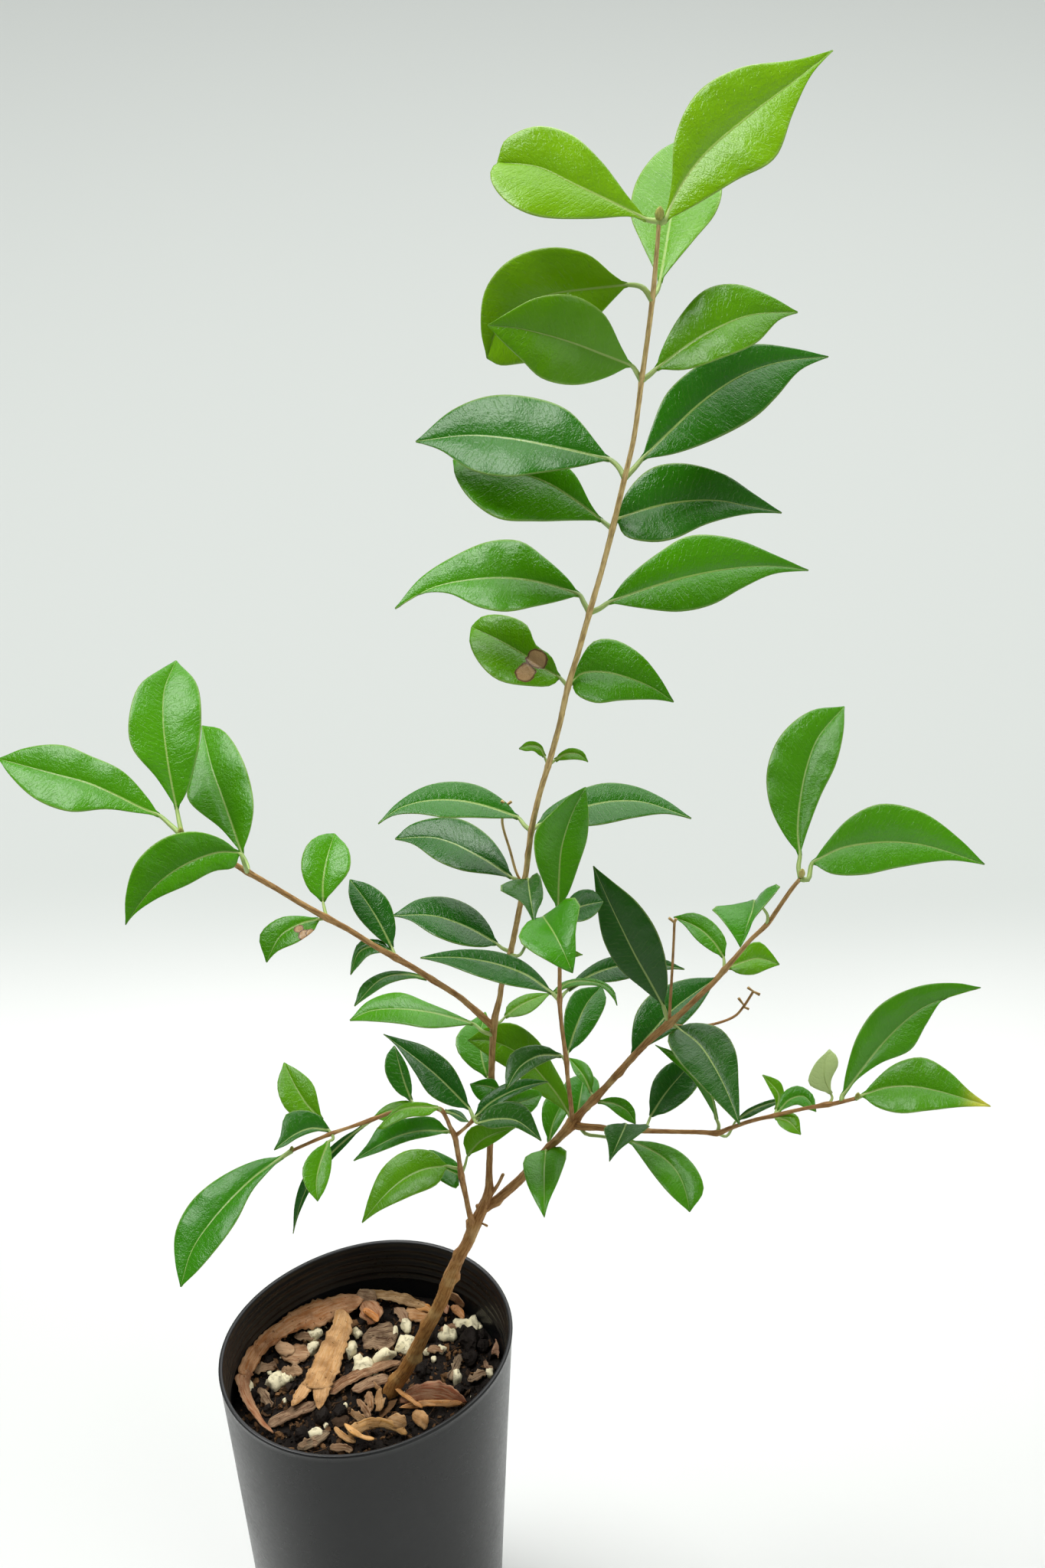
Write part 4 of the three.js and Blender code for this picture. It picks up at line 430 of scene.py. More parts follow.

# What each tone of green is mixed from: two colours of the palette and the share of the second.
# Besides each leaf's own age, the tones hold painted light. fork_long_left and upper_front_left get lighter
# tones as painted light where they lie in shade. The grey tones mix in the paler underside green as a
# painted sheen.
TONES = {
    "young": ("young", "fresh", 0.0),
    "behind": ("young", "fresh", 0.45),
    "lime": ("young", "fresh", 0.1),
    "bright": ("young", "fresh", 0.5),
    "fresh": ("young", "fresh", 0.84),
    "green": ("fresh", "deep", 0.25),
    "deep": ("fresh", "deep", 0.6),
    "dark": ("fresh", "deep", 0.85),
    "olive": ("fresh", "underside", 0.28),
    "grey": ("deep", "underside", 0.16),
    "greydark": ("deep", "underside", 0.12),
    "greygreen": ("fresh", "underside", 0.12),
    "pale": ("pale", "young", 0.1),
    "mottled": ("fresh", "young", 0.3),
    "tipyellow": ("fresh", "young", 0.25),
}


def number_property(title, text, default, **kind):
    return FloatProperty(name=title, description=text, default=default, **kind)


def length_property(title, text, default, high=1.0):
    return number_property(title, text, default, min=0.0, max=high, subtype="DISTANCE", unit="LENGTH")


def power_property(title, text, default):
    return number_property(title, text, default, unit="POWER")


def colour_property(title, text, default):
    kind = {"min": 0.0, "max": 1.0, "size": 3, "subtype": "COLOR"}
    return FloatVectorProperty(name=title, description=text, default=default, **kind)


class PotSettings(PropertyGroup):
    """Sizes and colour of the nursery tube pot."""

    height: length_property("Height", "From the ground to the rim", 0.12)
    rim_radius: length_property("Rim radius", "Outside of the rim before it is pressed oval", 0.035)
    base_radius: length_property("Base radius", "Outside of the foot", 0.0328)
    wall: length_property("Wall", "Thickness of the wall", 0.001)
    floor: length_property("Floor", "Thickness of the floor", 0.0014)
    ovalness: number_property("Ovalness", "How far the mouth is pressed oval", 0.087)
    oval_turn: number_property(
        "Oval turn", "Direction of the oval's long axis", math.radians(35), subtype="ANGLE", unit="ROTATION"
    )
    oval_depth: length_property("Oval depth", "How far below the rim the oval fades out", 0.1)
    grooves: IntProperty(name="Grooves", description="Moulded steps inside the rim", default=5, min=0)
    drain_holes: IntProperty(name="Drain holes", description="Holes in the floor", default=6, min=0)
    drain_diameter: length_property("Drain hole", "Diameter of a drain hole", 0.007)
    drain_ring: length_property("Drain ring", "Radius of the circle the holes lie on", 0.024)
    colour: colour_property("Plastic", "Colour of the plastic", (0.009, 0.0092, 0.0098))
    dust: colour_property("Dust", "Colour of dried splashes and dust", (0.23, 0.2, 0.16))


class MixSettings(PropertyGroup):
    """Level, grain and colours of the potting mix."""

    level: length_property("Level", "Mean height of the mix above the ground", 0.1005)
    crumb_density: number_property("Crumb density", "Crumbs to a square metre of mix", 620000.0, min=0.0)
    crumb_small: length_property("Smallest crumb", "Width of the smallest crumb", 0.0006)
    crumb_large: length_property("Largest crumb", "Width of the largest crumb", 0.003)
    fibre_density: number_property("Fibre density", "Fibres to a square metre of mix", 75000.0, min=0.0)
    speck_density: number_property("Speck density", "Perlite specks to a square metre", 9000.0, min=0.0)
    flake_density: number_property("Flake density", "Flat bark flakes to a square metre", 30000.0, min=0.0)
    seed: IntProperty(name="Seed", description="Starting value of the scatter", default=7, min=0)
    dark: colour_property("Dark bark", "Colour of damp composted bark", (0.010, 0.0065, 0.0045))
    light: colour_property("Light bark", "Colour of drier bark and coir", (0.20, 0.10, 0.040))
    perlite: colour_property("Perlite", "Colour of the perlite grains", (0.82, 0.74, 0.50))


class PlantSettings(PropertyGroup):
    """Leaf sizes and the colours of leaves and bark."""

    blade_thickness: length_property("Blade", "Thickness of a leaf", 0.00028)
    stalk_width: length_property("Stalk", "Width of a large leaf's stalk", 0.001)
    fold: number_property("Fold", "Rise of a blade from its midrib to its edge", 0.16)
    pillow: number_property("Pillow", "Fullness of each half of a blade", 0.06)
    wave: length_property("Edge wave", "Height of the waves along a leaf's edge", 0.0003)
    vein_spacing: length_property("Vein spacing", "Distance between side veins", 0.00105)
    young: colour_property("Young leaf", "Colour of the newest leaves", (0.17, 0.375, 0.002))
    fresh: colour_property("Fresh leaf", "Colour of full-grown leaves", (0.045, 0.25, 0.002))
    deep: colour_property("Deep leaf", "Colour of the oldest leaves", (0.010, 0.082, 0.006))
    underside: colour_property("Underside", "Colour of a leaf's lower face", (0.09, 0.22, 0.012))
    pale: colour_property("Pale leaf", "Colour of a curled leaf's lower face", (0.66, 0.78, 0.36))
    midrib: colour_property("Midrib", "Colour of midribs and leaf stalks", (0.40, 0.52, 0.16))
    spot: colour_property("Spot", "Colour of dead tissue", (0.36, 0.20, 0.085))
    golden: colour_property("Young bark", "Colour of the upper stem", (0.80, 0.60, 0.26))
    tan: colour_property("Tan bark", "Colour of the middle of the stem", (0.42, 0.225, 0.078))
    brown: colour_property("Old bark", "Colour of the trunk", (0.45, 0.215, 0.06))


class LitterSettings(PropertyGroup):
    """Thickness and raggedness of the dry litter."""

    thickness: length_property("Thickness", "Thickness of a dry piece", 0.0004)
    ragged: number_property("Ragged", "How torn the edges are", 0.14, min=0.0)
    crinkle: length_property("Crinkle", "Height of the crinkles", 0.00045)


class StageSettings(PropertyGroup):
    """Floor, lights and camera."""

    floor_colour: colour_property("Floor", "Colour of the floor under the pot", (0.73, 0.74, 0.725))
    far_colour: colour_property("Far colour", "Colour far off and all round", (0.70, 0.735, 0.705))
    near_end: length_property("Near end", "How far the near floor reaches behind the pot", 0.3, high=10.0)
    far_glow: number_property("Far glow", "Light given off by the far floor", 0.62)
    surround: number_property("Surround", "Strength of the light from all round", 1.0)
    key_power: power_property("Key light", "Power of the main light", 22.0)
    fill_power: power_property("Fill light", "Power of the light in front", 3.0)
    back_power: power_property("Back light", "Power of the light behind", 15.0)


def millimetres(value):
    return value * 1000.0


# Reading the picture.


def sight(px, py):
    """The sight line through a pixel, for one millimetre of depth along the view."""
    across = (np.asarray(px, float) - MIDDLE[0]) / FOCAL
    up = (MIDDLE[1] - np.asarray(py, float)) / FOCAL
    level = math.cos(PITCH) + up * math.sin(PITCH)
    rise = up * math.cos(PITCH) - math.sin(PITCH)
    return np.stack([across, level, rise], axis=-1)


def point_at(px, py, reach):
    return EYE + sight(px, py) * np.asarray(reach, float)[..., None]


def reach_of_depth(px, py, depth):
    return (depth - EYE[1]) / sight(px, py)[..., 1]


def on_level(px, py, height):
    return point_at(px, py, (height - EYE[2]) / sight(px, py)[..., 2])


def seen_at(points):
    """Pixels of the picture at which points are seen."""
    away = points - EYE
    forward = away[..., 1] * math.cos(PITCH) - away[..., 2] * math.sin(PITCH)
    up = away[..., 1] * math.sin(PITCH) + away[..., 2] * math.cos(PITCH)
    seen = [MIDDLE[0] + FOCAL * away[..., 0] / forward, MIDDLE[1] - FOCAL * up / forward]
    return np.stack(seen, axis=-1)


def read_points(text):
    return [[float(number) for number in word.split(",")] for word in text.split()]


def read_rows(text):
    """Joins the wrapped lines of a table and splits them into cells."""
    lines = text.strip().replace("\n  ", " ").split("\n")
    return [[cell.strip() for cell in line.split("|")] for line in lines]


def length_gone(points):
    """The length of a line up to each of its points."""
    return np.concatenate([[0], np.cumsum(np.linalg.norm(np.diff(points, axis=0), axis=1))])


def smooth(points, count):
    """count + 1 evenly spaced points on a smooth curve through the given ones."""
    knots = np.array(points, float)
    line = np.vstack([2 * knots[0] - knots[1], knots, 2 * knots[-1] - knots[-2]])
    steps = np.sqrt(np.linalg.norm(np.diff(line, axis=0), axis=1)).clip(1e-3)
    share = np.linspace(0, 1, 16, endpoint=False)[:, None]
    runs = []
    for i in range(1, len(line) - 2):
        a, b, c, d = line[i - 1 : i + 3]
        before, here, after = steps[i - 1 : i + 2]
        leaving = ((b - a) / before - (c - a) / (before + here) + (c - b) / here) * here
        arriving = ((c - b) / here - (d - b) / (here + after) + (d - c) / after) * here
        runs.append(
            b
            + leaving * share
            + (3 * (c - b) - 2 * leaving - arriving) * share**2
            + (2 * (b - c) + leaving + arriving) * share**3
        )
    run = np.vstack([*runs, knots[-1:]])
    gone = length_gone(run)
    wanted = np.linspace(0, gone[-1], count + 1)
    return np.stack([np.interp(wanted, gone, run[:, k]) for k in range(run.shape[1])], axis=1)


def unit(vectors):
    return vectors / np.linalg.norm(vectors, axis=-1, keepdims=True).clip(1e-9)


def sheet_normals(points):
    return unit(np.cross(np.gradient(points, axis=0), np.gradient(points, axis=1)))


def full_turn(sides):
    return np.linspace(0, 2 * math.pi, sides, endpoint=False)


def fade(value, low, high):
    """0 below low, 1 above high and a soft step between."""
    share = np.clip((np.asarray(value, float) - low) / (high - low), 0, 1)
    return share * share * (3 - 2 * share)


def rough_at(points, scale, seed=0.0):
    """Smooth random values between about -1 and 1 at points in mm."""
    flat = points.reshape(-1, 3) / scale + seed * 17.3
    values = [noise.noise(Vector(p)) for p in flat]
    return np.array(values).reshape(points.shape[:-1])


# Gathering meshes.


PLAIN_TONE = (0.5, 0.5, 0.5, 0.0)


def ring_quads(rows, size):
    """Point numbers of the quads between neighbouring rings."""
    index = np.arange(rows * size).reshape(rows, size)
    turned = np.roll(index, -1, axis=1)
    return np.stack([index[:-1], turned[:-1], turned[1:], index[1:]], axis=-1).reshape(-1, 4)


def two_faces(upper, lower):
    """Rings round a sheet: over its upper face and back along its lower one."""
    return np.concatenate([upper, lower[:, ::-1]], axis=1)


def sheet_run(across, place, gone):
    """Surface coordinates of a sheet: mm across, share of the half width, mm along."""
    run = np.stack(np.broadcast_arrays(across, place, gone[:, None]), axis=-1)
    return two_faces(run, run)


class Shape:
    """Closed bodies gathered for one mesh, in millimetres, with their surface coordinates and tones."""

    def __init__(self):
        self.points = []
        self.faces = []
        self.slots = []
        self.along = []
        self.tones = []
        self.count = 0

    def stack(self, rings, slots=0, along=0.0, tones=PLAIN_TONE):
        """A body from a stack of equal rings, closed at both ends."""
        rows, size, _ = rings.shape
        k = np.arange(size // 2 - 1)
        low = np.stack([k, size - 1 - k, size - 2 - k, k + 1], axis=-1)
        high = low[:, [0, 3, 2, 1]] + (rows - 1) * size
        faces = np.vstack([ring_quads(rows, size), low, high])
        points = rings.reshape(-1, 3)
        a, b, c, d = (points[faces[:, i]] - points.mean(axis=0) for i in range(4))
        if (np.cross(a, b) * c + np.cross(a, c) * d).sum() < 0:
            faces = faces[:, ::-1]
        slot_of_side = np.broadcast_to(slots, (rows - 1, size)).reshape(-1)
        slot_of_cap = np.full(2 * len(k), slot_of_side[0])
        self.points.append(points)
        self.faces.append(faces + self.count)
        self.slots.append(np.concatenate([slot_of_side, slot_of_cap]))
        self.along.append(np.broadcast_to(along, (rows, size, 3)).reshape(-1, 3))
        self.tones.append(np.broadcast_to(tones, (rows, size, 4)).reshape(-1, 4))
        self.count += rows * size

    def tube(self, centres, radii, sides, slot=0, tones=PLAIN_TONE, bumps=1.0):
        """A round body along a line of centres."""
        radii = np.broadcast_to(radii, len(centres))
        forward = unit(np.gradient(centres, axis=0))
        side = unit(np.cross(forward, centres - EYE))
        up = np.cross(forward, side)
        turn = full_turn(sides)
        out = side[:, None] * np.cos(turn)[:, None] + up[:, None] * np.sin(turn)[:, None]
        width = radii[:, None] * np.broadcast_to(bumps, (len(centres), sides))
        wide = radii[:, None]
        parts = np.broadcast_arrays(np.cos(turn) * wide, np.sin(turn) * wide, length_gone(centres)[:, None])
        along = np.stack(parts, axis=-1)
        if np.ndim(tones) == 2:
            tones = np.asarray(tones)[:, None]
        self.stack(centres[:, None] + out * width[..., None], slot, along, tones)

    def lump(self, centre, radii, seed, roughness, sides, rows):
        """A knobbly round body."""
        rise = np.sin(np.linspace(-1.45, 1.45, rows))
        turn = full_turn(sides)
        ring = np.sqrt(1 - rise**2)
        parts = (ring[:, None] * np.cos(turn), ring[:, None] * np.sin(turn), rise[:, None])
        ball = np.stack(np.broadcast_arrays(*parts), axis=-1)
        grown = 1 + roughness * rough_at(ball, 0.9, seed) * 1.6
        lean = Vector((math.sin(seed), math.cos(2 * seed), 1.5))
        turned = np.array(lean.to_track_quat("Z", "Y").to_matrix())
        self.stack((ball * grown[..., None]) @ turned.T * np.array(radii) + centre)

    def make(self, name, materials, shaded=True):
        """The gathered bodies as one object."""
        points = np.vstack(self.points) / 1000
        faces = np.vstack(self.faces)
        mesh = bpy.data.meshes.new(name)
        mesh.from_pydata(points.tolist(), [], faces.tolist())
        for material in materials:
            mesh.materials.append(material)
        mesh.polygons.foreach_set("material_index", np.concatenate(self.slots).astype(np.int32))
        mesh.polygons.foreach_set("use_smooth", np.full(len(faces), shaded))
        for label, kind, field, values in (
            ("along", "FLOAT_VECTOR", "vector", self.along),
            ("tone", "FLOAT_COLOR", "color", self.tones),
        ):
            layer = mesh.attributes.new(label, kind, "POINT")
            layer.data.foreach_set(field, np.vstack(values).astype(np.float32).ravel())
        mesh.update()
        return show(name, mesh)


def show(name, mesh):
    """An object for a mesh, shown in the scene."""
    thing = bpy.data.objects.new(name, mesh)
    bpy.context.scene.collection.objects.link(thing)
    return thing


def settle_piece(piece, slot, *nodes):
    """Hangs a finished piece on the part and lets it stand for its solids."""
    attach(piece, "root")
    if nodes:
        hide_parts(*nodes)


# Materials.


class Wires:
    """Adds nodes to a tree and wires them by the names of their sockets."""

    def __init__(self, tree):
        self.tree = tree

    def add(self, kind, inputs=None, **settings):
        made = self.tree.nodes.new(kind)
        for name, value in settings.items():
            setattr(made, name, value)
        for name, value in (inputs or {}).items():
            self.feed(made.inputs[name], value)
        return made

    def feed(self, socket, value):
        if isinstance(value, bpy.types.NodeSocket):
            self.tree.links.new(value, socket)
        elif socket.type == "RGBA" and len(value) == 3:
            socket.default_value = (*value, 1.0)
        else:
            socket.default_value = value

    def maths(self, kind, one, other=0.0, third=0.0):
        return self.add("ShaderNodeMath", {0: one, 1: other, 2: third}, operation=kind).outputs[0]

    def times(self, one, other):
        return self.maths("MULTIPLY", one, other)

    def most(self, one, other):
        return self.maths("MAXIMUM", one, other)

    def size(self, value):
        return self.maths("ABSOLUTE", value)

    def plus_times(self, added, one, other):
        return self.maths("MULTIPLY_ADD", one, other, added)

    def mix(self, share, one, other, kind="MIX"):
        made = self.add("ShaderNodeMix", {0: share, 6: one, 7: other}, data_type="RGBA", blend_type=kind)
        return made.outputs[2]

    def tint(self, colour, mask, share, other):
        """Brings in another colour where a mask is, up to a share."""
        return self.mix(self.times(mask, share), colour, other)

    def darker(self, colour, factors):
        return self.mix(1.0, colour, factors, "MULTIPLY")

    def ramp(self, value, low, high, start=0.0, end=1.0):
        limits = {"From Min": low, "From Max": high, "To Min": start, "To Max": end}
        made = self.add("ShaderNodeMapRange", {"Value": value, **limits}, interpolation_type="SMOOTHSTEP")
        return made.outputs[0]

    def noise(self, vector, scale, detail=3.0, roughness=0.55):
        inputs = {"Vector": vector, "Scale": scale, "Detail": detail, "Roughness": roughness}
        return self.add("ShaderNodeTexNoise", inputs).outputs["Fac"]

    def stretch(self, vector, factors):
        made = self.add("ShaderNodeVectorMath", {0: vector, 1: factors}, operation="MULTIPLY")
        return made.outputs[0]

    def apart(self, vector):
        return self.add("ShaderNodeSeparateXYZ", {0: vector}).outputs

    def join(self, **parts):
        return self.add("ShaderNodeCombineXYZ", parts).outputs[0]

    def place(self):
        return self.add("ShaderNodeTexCoord").outputs["Object"]

    def attribute(self, name):
        return self.add("ShaderNodeAttribute", attribute_name=name).outputs

    def group(self, name, **inputs):
        """A shared group's outputs, fed with the given inputs."""
        made = self.tree.nodes.new("ShaderNodeGroup")
        made.node_tree = bpy.data.node_groups[name]
        for label, value in inputs.items():
            self.feed(made.inputs[label], value)
        return made.outputs

    def mottle(self, scale, low, high):
        return self.group("Mottle", Vector=self.place(), Scale=scale, Low=low, High=high)["Patches"]

    def streaks(self, **inputs):
        return self.group("Streaks", Along=self.attribute("along")["Vector"], **inputs)["Streaks"]


def new_group(name, inputs, outputs):
    """Wires, inputs and outputs of a new shader group; an input without a default is a vector."""
    tree = bpy.data.node_groups.new(name, "ShaderNodeTree")
    for label, default in inputs.items():
        kind = "NodeSocketVector" if default is None else "NodeSocketFloat"
        socket = tree.interface.new_socket(label, in_out="INPUT", socket_type=kind)
        if default is not None:
            socket.default_value = default
    for label in outputs:
        tree.interface.new_socket(label, in_out="OUTPUT", socket_type="NodeSocketFloat")
    wires = Wires(tree)
    return wires, wires.add("NodeGroupInput").outputs, wires.add("NodeGroupOutput").inputs


def mottle_group():
    """Uneven patches: noise at a scale, cut between two levels."""
    inputs = {"Vector": None, "Scale": 100.0, "Low": 0.4, "High": 0.6}
    wires, given, result = new_group("Mottle", inputs, ["Patches"])
    raw = wires.noise(given["Vector"], given["Scale"], 4.0, 0.6)
    wires.feed(result["Patches"], wires.ramp(raw, given["Low"], given["High"]))


def streak_group():
    """Fine lines that run the length of a piece."""
    inputs = {"Along": None, "Across": 2.4, "Length": 0.18}
    wires, given, result = new_group("Streaks", inputs, ["Streaks"])
    factors = wires.join(X=given["Across"], Y=given["Across"], Z=given["Length"])
    wires.feed(result["Streaks"], wires.noise(wires.stretch(given["Along"], factors), 1.0, 4.0, 0.6))


def vein_group():
    """A leaf's midrib and side veins, from millimetres across and along the blade."""
    inputs = {"Along": None, "Share": 0.0, "Spacing": 1.4, "Slant": 0.5}
    wires, given, result = new_group("Leaf Veins", inputs, ["Midrib", "Veins", "Height"])
    apart = wires.apart(given["Along"])
    across = wires.size(apart["X"])
    half = wires.ramp(given["Share"], 0.0, 1.0, 0.26, 0.07)
    midrib = wires.ramp(across, wires.times(half, 1.35), wires.times(half, 0.55))
    forward = wires.maths("SUBTRACT", apart["Z"], wires.times(across, given["Slant"]))
    wandering = wires.plus_times(forward, wires.noise(given["Along"], 0.45, 2.0), 1.6)
    count = wires.maths("DIVIDE", wandering, given["Spacing"])
    saw = wires.size(wires.maths("SUBTRACT", wires.maths("FRACT", count), 0.5))
    broken = wires.ramp(wires.noise(given["Along"], 0.8, 2.0), 0.4, 0.6)
    vein = wires.times(wires.ramp(saw, 0.33, 0.5), broken)
    net = wires.times(wires.noise(given["Along"], 3.2, 2.0), 0.7)
    leathery = wires.plus_times(net, wires.noise(given["Along"], 0.9, 2.0), 1.4)
    wires.feed(result["Midrib"], midrib)
    wires.feed(result["Veins"], vein)
    wires.feed(result["Height"], wires.plus_times(wires.plus_times(leathery, vein, -0.3), midrib, 0.2))


def spot_group():
    """A ragged dead patch round a centre: its inside and its dark rim."""
    inputs = {"Vector": None, "Centre": None, "Radius": 0.002}
    wires, given, result = new_group("Dead Spot", inputs, ["Inside", "Rim"])
    away = wires.add("ShaderNodeVectorMath", {0: given["Vector"], 1: given["Centre"]}, operation="DISTANCE")
    ragged = wires.plus_times(0.55, wires.noise(given["Vector"], 420.0, 2.0), 0.9)
    reach = wires.maths("DIVIDE", away.outputs["Value"], wires.times(given["Radius"], ragged))
    inside = wires.ramp(reach, 1.05, 0.95)
    wires.feed(result["Inside"], inside)
    wires.feed(result["Rim"], wires.times(inside, wires.ramp(reach, 0.72, 0.95)))


def new_material(name):
    """A material with one surface shader: the material, its wires and the shader's inputs."""
    material = bpy.data.materials.new(name)
    material.use_nodes = True
    material.node_tree.nodes.clear()
    wires = Wires(material.node_tree)
    surface = wires.add("ShaderNodeBsdfPrincipled")
    wires.add("ShaderNodeOutputMaterial", {"Surface": surface.outputs[0]})
    return material, wires, surface.inputs


def finish(wires, surface, colour, roughness, shine, height, depth, strength):
    """Feeds a shader its colour, roughness, mirror strength and a relief of a depth in metres."""
    wires.feed(surface["Base Color"], colour)
    wires.feed(surface["Roughness"], roughness)
    surface["Specular IOR Level"].default_value = shine
    bump = wires.add("ShaderNodeBump", {"Height": height, "Distance": depth, "Strength": strength})
    wires.feed(surface["Normal"], bump.outputs["Normal"])


DULL = 0.2
LEAF_IOR = 1.42
LEAF_COAT = 0.12
LEAF_COAT_ROUGHNESS = 0.14


def leaf_material(name, plant, upper, spots):
    """A blade's glossy upper face or its dull lower one."""
    material, wires, surface = new_material(name)
    tone = wires.attribute("tone")
    along = wires.attribute("along")["Vector"]
    spacing = millimetres(plant.vein_spacing)
    veins = wires.group("Leaf Veins", Along=along, Share=tone["Alpha"], Spacing=spacing)
    patches = wires.mottle(90.0, 0.3, 0.75)
    colour = tone["Color"]
    midrib = plant.midrib[:]
    if upper:
        colour = wires.tint(colour, patches, 0.35, wires.darker(colour, (0.55, 0.72, 0.6)))
        vein_colour, vein_share, rib_share = midrib, 0.05, 0.6
    else:
        colour = wires.mix(0.35, colour, plant.underside[:])
        vein_colour, vein_share, rib_share = wires.darker(colour, (0.6, 0.7, 0.5)), 0.12, 0.7
    colour = wires.tint(colour, veins["Veins"], vein_share, vein_colour)
    colour = wires.tint(colour, veins["Midrib"], rib_share, midrib)
    rim = wires.ramp(wires.size(wires.apart(along)["Y"]), 0.93, 0.99, 0.0, 0.35)
    colour = wires.mix(rim, colour, midrib)
    place = wires.place()
    for centre, radius in spots:
        spot = wires.group("Dead Spot", Vector=place, Centre=centre, Radius=radius)
        dead = wires.mix(wires.noise(place, 900.0), plant.spot[:], (0.5, 0.33, 0.17))
        dead = wires.mix(spot["Rim"], dead, (0.10, 0.045, 0.02))
        colour = wires.mix(spot["Inside"], colour, dead)
    roughness = wires.ramp(patches, 0.0, 1.0, 0.15, 0.22) if upper else 0.45
    finish(wires, surface, colour, roughness, 0.27 if upper else 0.12, veins["Height"], 0.00012, 1.0)
    surface["Coat Weight"].default_value = LEAF_COAT if upper else 0.0
    surface["Coat Roughness"].default_value = LEAF_COAT_ROUGHNESS
    surface["IOR"].default_value = LEAF_IOR
    return material


def stalk_material(plant):
    """Pale green leaf stalks with fine lines."""
    material, wires, surface = new_material("Leaf Stalk")
    streaks = wires.streaks()
    colour = wires.mix(wires.ramp(streaks, 0.4, 0.7), wires.attribute("tone")["Color"], plant.midrib[:])
    finish(wires, surface, colour, wires.ramp(streaks, 0.3, 0.7, 0.4, 0.55), 0.5, streaks, 0.0001, 0.5)
    return material


def bark_material(plant):
    """Bark in the tone of its age, with darker streaks and flecks and paler patches."""
    material, wires, surface = new_material("Myrtle Bark")
    tone = wires.attribute("tone")["Color"]
    shadow = (0.5, 0.42, 0.36)
    streaks = wires.streaks(Across=2.6, Length=0.32)
    flecks = wires.mottle(520.0, 0.55, 0.72)
    broad = wires.noise(wires.place(), 160.0)
    colour = wires.mix(wires.ramp(streaks, 0.4, 0.62, 0.0, 0.8), tone, wires.darker(tone, shadow))
    colour = wires.mix(wires.ramp(broad, 0.5, 0.75, 0.0, 0.35), colour, plant.golden[:])
    colour = wires.tint(colour, flecks, 0.4, wires.darker(colour, shadow))
    height = wires.plus_times(streaks, flecks, 0.4)
    finish(wires, surface, colour, wires.ramp(streaks, 0.3, 0.7, 0.5, 0.72), DULL, height, 0.0003, 0.9)
    return material


def plastic_material(pot):
    """Black plastic with scuffs, dust and a fine moulded grain."""
    material, wires, surface = new_material("Pot Plastic")
    scuffs = wires.mottle(38.0, 0.45, 0.8)
    dust = wires.mottle(330.0, 0.66, 0.8)
    grain = wires.noise(wires.place(), 900.0, 2.0)
    colour = wires.tint(pot.colour[:], scuffs, 0.35, (0.034, 0.035, 0.036))
    colour = wires.tint(colour, dust, wires.times(scuffs, 0.12), pot.dust[:])
    roughness = wires.plus_times(wires.ramp(grain, 0.3, 0.7, 0.27, 0.33), scuffs, 0.08)
    finish(wires, surface, colour, roughness, 0.3, grain, 0.00002, 0.3)
    return material


def mix_material(name, mix, grain, dry):
    """Damp bark and coir: each crumb has its own shade."""
    material, wires, surface = new_material(name)
    patches = wires.mottle(grain, 0.35, 0.7)
    drier = wires.ramp(wires.attribute("shade")["Fac"], 1.0 - dry, 1.0)
    colour = wires.tint(mix.dark[:], drier, 0.9, mix.light[:])
    colour = wires.tint(colour, patches, 0.5, wires.darker(colour, (0.35, 0.35, 0.35)))
    finish(wires, surface, colour, wires.ramp(patches, 0.0, 1.0, 0.78, 0.95), DULL, patches, 0.0004, 0.7)
    return material


def perlite_material(mix):
    """Off-white grains with pits and earthy stains."""
    material, wires, surface = new_material("Perlite")
    pits = wires.mottle(900.0, 0.52, 0.7)
    stain = wires.mottle(260.0, 0.5, 0.75)
    colour = wires.tint(mix.perlite[:], stain, 0.6, (0.44, 0.36, 0.17))
    colour = wires.tint(colour, pits, 0.35, (0.34, 0.29, 0.18))
    height = wires.times(pits, -1.0)
    finish(wires, surface, colour, wires.ramp(pits, 0.0, 1.0, 0.8, 0.95), DULL, height, 0.0003, 0.8)
    return material


def litter_material(name, grain, roughness):
    """Dry leaf or bark: streaks along the piece, darker patches and specks, and a bleached rim."""
    material, wires, surface = new_material(name)
    tone = wires.attribute("tone")["Color"]
    streaks = wires.streaks(Across=grain, Length=0.2)
    patches = wires.mottle(240.0, 0.4, 0.68)
    specks = wires.mottle(1100.0, 0.62, 0.68)
    pale = wires.mix(0.4, tone, (0.75, 0.55, 0.33))
    colour = wires.mix(wires.ramp(streaks, 0.36, 0.66), pale, tone)
    colour = wires.tint(colour, patches, 0.6, wires.darker(tone, (0.36, 0.3, 0.27)))
    colour = wires.tint(colour, specks, 0.75, wires.darker(tone, (0.16, 0.12, 0.1)))
    across = wires.apart(wires.attribute("along")["Vector"])["Y"]
    colour = wires.mix(wires.ramp(wires.size(across), 0.78, 1.0, 0.0, 0.4), colour, pale)
    rough = wires.ramp(patches, 0.0, 1.0, roughness, roughness + 0.15)
    finish(wires, surface, colour, rough, DULL, streaks, 0.00035, 0.8)
    return material


